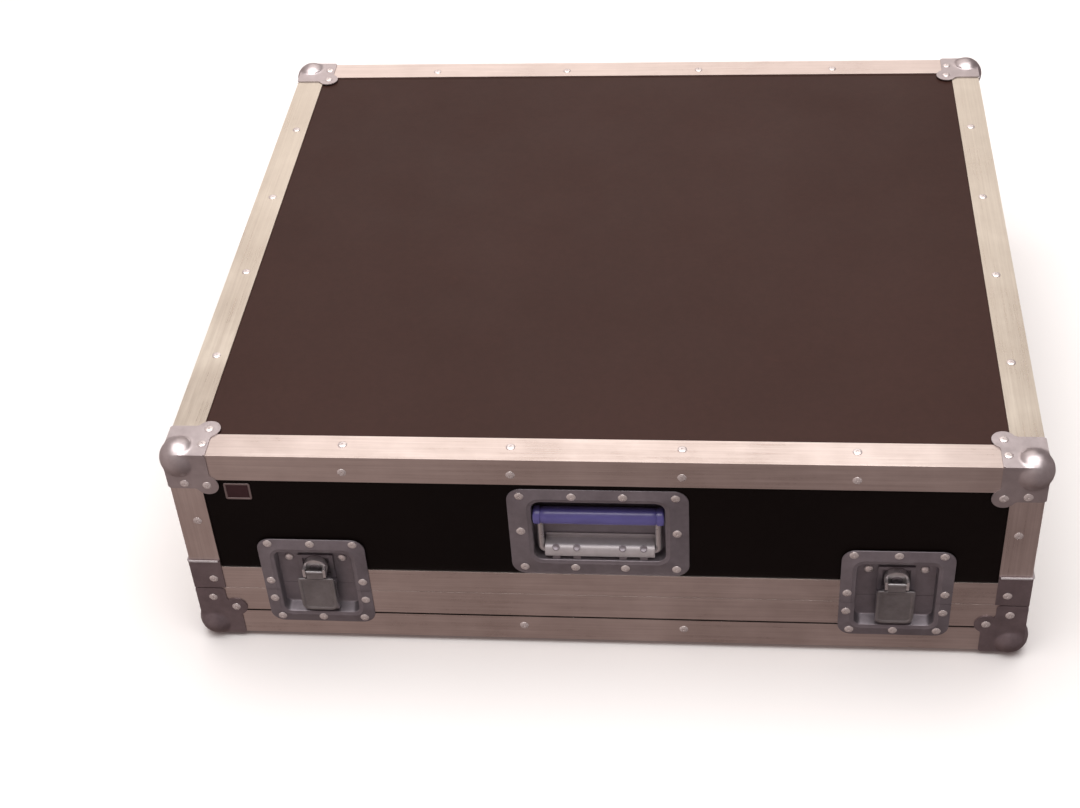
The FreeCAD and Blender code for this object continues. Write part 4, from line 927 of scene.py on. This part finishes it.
def build_foam():
    """Waved lid pad, plain floor pad and four wall pads a half, with a gap behind the handle's dish."""
    thick, gap, wave, pitch = 10 * MM, 0.2 * MM, 4 * MM, 34 * MM
    pocket, sill_above, head_below = 63.7 * MM, 16 * MM, 13.8 * MM
    low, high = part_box("lid_foam_top")
    pads = [("lid_foam_top", "lid", foam_slab(low, high, wave, (0, 0, -1), pitch))]
    low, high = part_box("base_foam_floor")
    pads.append(("base_foam_floor", "base", foam_slab(low, high, 0, (0, 0, 1))))
    for half in ("lid", "base"):
        low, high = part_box(f"{half}_foam_walls")
        inner_low, inner_high = low.y + thick + gap, high.y - thick - gap
        slabs = [foam_slab(Vector((low.x, high.y - thick, low.z)), high, 0, (0, -1, 0)),
                 foam_slab(Vector((low.x, inner_low, low.z)),
                           Vector((low.x + thick, inner_high, high.z)), 0, (1, 0, 0)),
                 foam_slab(Vector((high.x - thick, inner_low, low.z)),
                           Vector((high.x, inner_high, high.z)), 0, (-1, 0, 0))]
        front_high = Vector((high.x, low.y + thick, high.z))
        if half == "lid":
            dish_low, dish_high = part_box("handle_dish")
            slabs += [foam_slab(low, Vector((-pocket, front_high.y, high.z)), 0, (0, 1, 0)),
                      foam_slab(Vector((pocket, low.y, low.z)), front_high, 0, (0, 1, 0)),
                      foam_slab(Vector((-pocket, low.y, low.z)),
                                Vector((pocket, front_high.y, dish_low.z + sill_above)), 0, (0, 1, 0)),
                      foam_slab(Vector((-pocket, low.y, dish_high.z - head_below)),
                                Vector((pocket, front_high.y, high.z)), 0, (0, 1, 0))]
        else:
            slabs.append(foam_slab(low, front_high, 0, (0, 1, 0)))
        pads.append((f"{half}_foam_walls", half, together(*slabs)))
    for node, body, shape in pads:
        piece = make_piece(node + "_soft", shape, body, [node], FOAM)
        shade(piece, 60)


# ----------------------------------------------------------- camera and studio

def build_camera():
    camera = bpy.data.cameras.new("viewpoint")
    camera.lens = 60.417
    camera.sensor_width = 36
    holder = bpy.data.objects.new("viewpoint", camera)
    holder.location = (0.12216, -1.54497, 1.33108)
    holder.rotation_euler = [math.radians(turn) for turn in (49.613, 3.439, 5.056)]
    bpy.context.scene.collection.objects.link(holder)
    bpy.context.scene.camera = holder


def softbox(name, place, aim, width, depth, watts, colour):
    light = bpy.data.lights.new(name, "AREA")
    light.shape = "RECTANGLE"
    light.size, light.size_y = width, depth
    light.energy = watts
    light.color = colour
    holder = bpy.data.objects.new(name, light)
    holder.location = place
    holder.rotation_euler = (Vector(aim) - Vector(place)).to_track_quat("-Z", "Y").to_euler()
    bpy.context.scene.collection.objects.link(holder)


def build_surroundings():
    """A dim warm room below eye level, paler above and a little darker to the right."""
    world = bpy.data.worlds.new("studio")
    world.use_nodes = True
    tree = world.node_tree
    sky = tree.nodes.new("ShaderNodeTexCoord").outputs["Generated"]
    split = tree.nodes.new("ShaderNodeSeparateXYZ")
    tree.links.new(sky, split.inputs["Vector"])

    def graded(axis, stops):
        height = tree.nodes.new("ShaderNodeMapRange")
        height.inputs["From Min"].default_value = -1
        tree.links.new(split.outputs[axis], height.inputs["Value"])
        ramp = tree.nodes.new("ShaderNodeValToRGB")
        for element, (position, colour) in zip(ramp.color_ramp.elements, stops):
            element.position, element.color = position, (*colour, 1)
        tree.links.new(height.outputs["Result"], ramp.inputs["Fac"])
        return ramp.outputs["Color"]

    rising = graded("Z", ((0.06, (0.195, 0.137, 0.124)), (0.32, (0.42, 0.34, 0.325))))
    sideways = graded("X", ((0.38, (1.12, 1.12, 1.12)), (0.62, (0.72, 0.72, 0.74))))
    product = tree.nodes.new("ShaderNodeMix")
    product.data_type, product.blend_type = "RGBA", "MULTIPLY"
    product.inputs["Factor"].default_value = 1.0
    colours = [socket for socket in product.inputs if socket.type == "RGBA"]
    tree.links.new(rising, colours[0])
    tree.links.new(sideways, colours[1])
    mixed = next(socket for socket in product.outputs if socket.type == "RGBA")
    tree.links.new(mixed, tree.nodes["Background"].inputs["Color"])
    bpy.context.scene.world = world


def build_studio():
    reach = 9.0
    corners = [(-reach, -reach, 0), (reach, -reach, 0), (reach, reach, 0), (-reach, reach, 0)]
    mesh = bpy.data.meshes.new("studio_floor")
    mesh.from_pydata(corners, [], [(0, 1, 2, 3)])
    mesh.materials.append(floor_finish())
    floor = bpy.data.objects.new("studio_floor", mesh)
    bpy.context.scene.collection.objects.link(floor)
    floor.visible_glossy = False
    build_surroundings()
    softbox("rear_softbox", place=(-0.15, 2.5, 2.05), aim=(0, 0, 0.2), width=2.4, depth=1.9,
            watts=13.9, colour=(1.0, 0.93, 0.87))
    softbox("overhead_softbox", place=(0, -0.3, 3.4), aim=(0, -0.3, 0), width=3.8, depth=3.6,
            watts=160, colour=(1.0, 0.98, 0.96))
    bpy.context.scene.view_settings.view_transform = "Standard"


# ----------------------------------------------------------------------- build

build_camera()
build_studio()
finish_panels()
build_edging()
build_ball_corners()
build_rivets()
for side, way in (("left", -1), ("right", 1)):
    centre = JOINTS[f"latch_{side}_turn"]["pos_m"][0]
    build_latch_dishes(side, centre)
    build_wing(side, centre)
    build_mechanism(side)
build_handle_dish()
build_spring_bracket()
build_springs()
build_bail()
build_grip()
build_name_plate()
build_hinges()
build_foam()
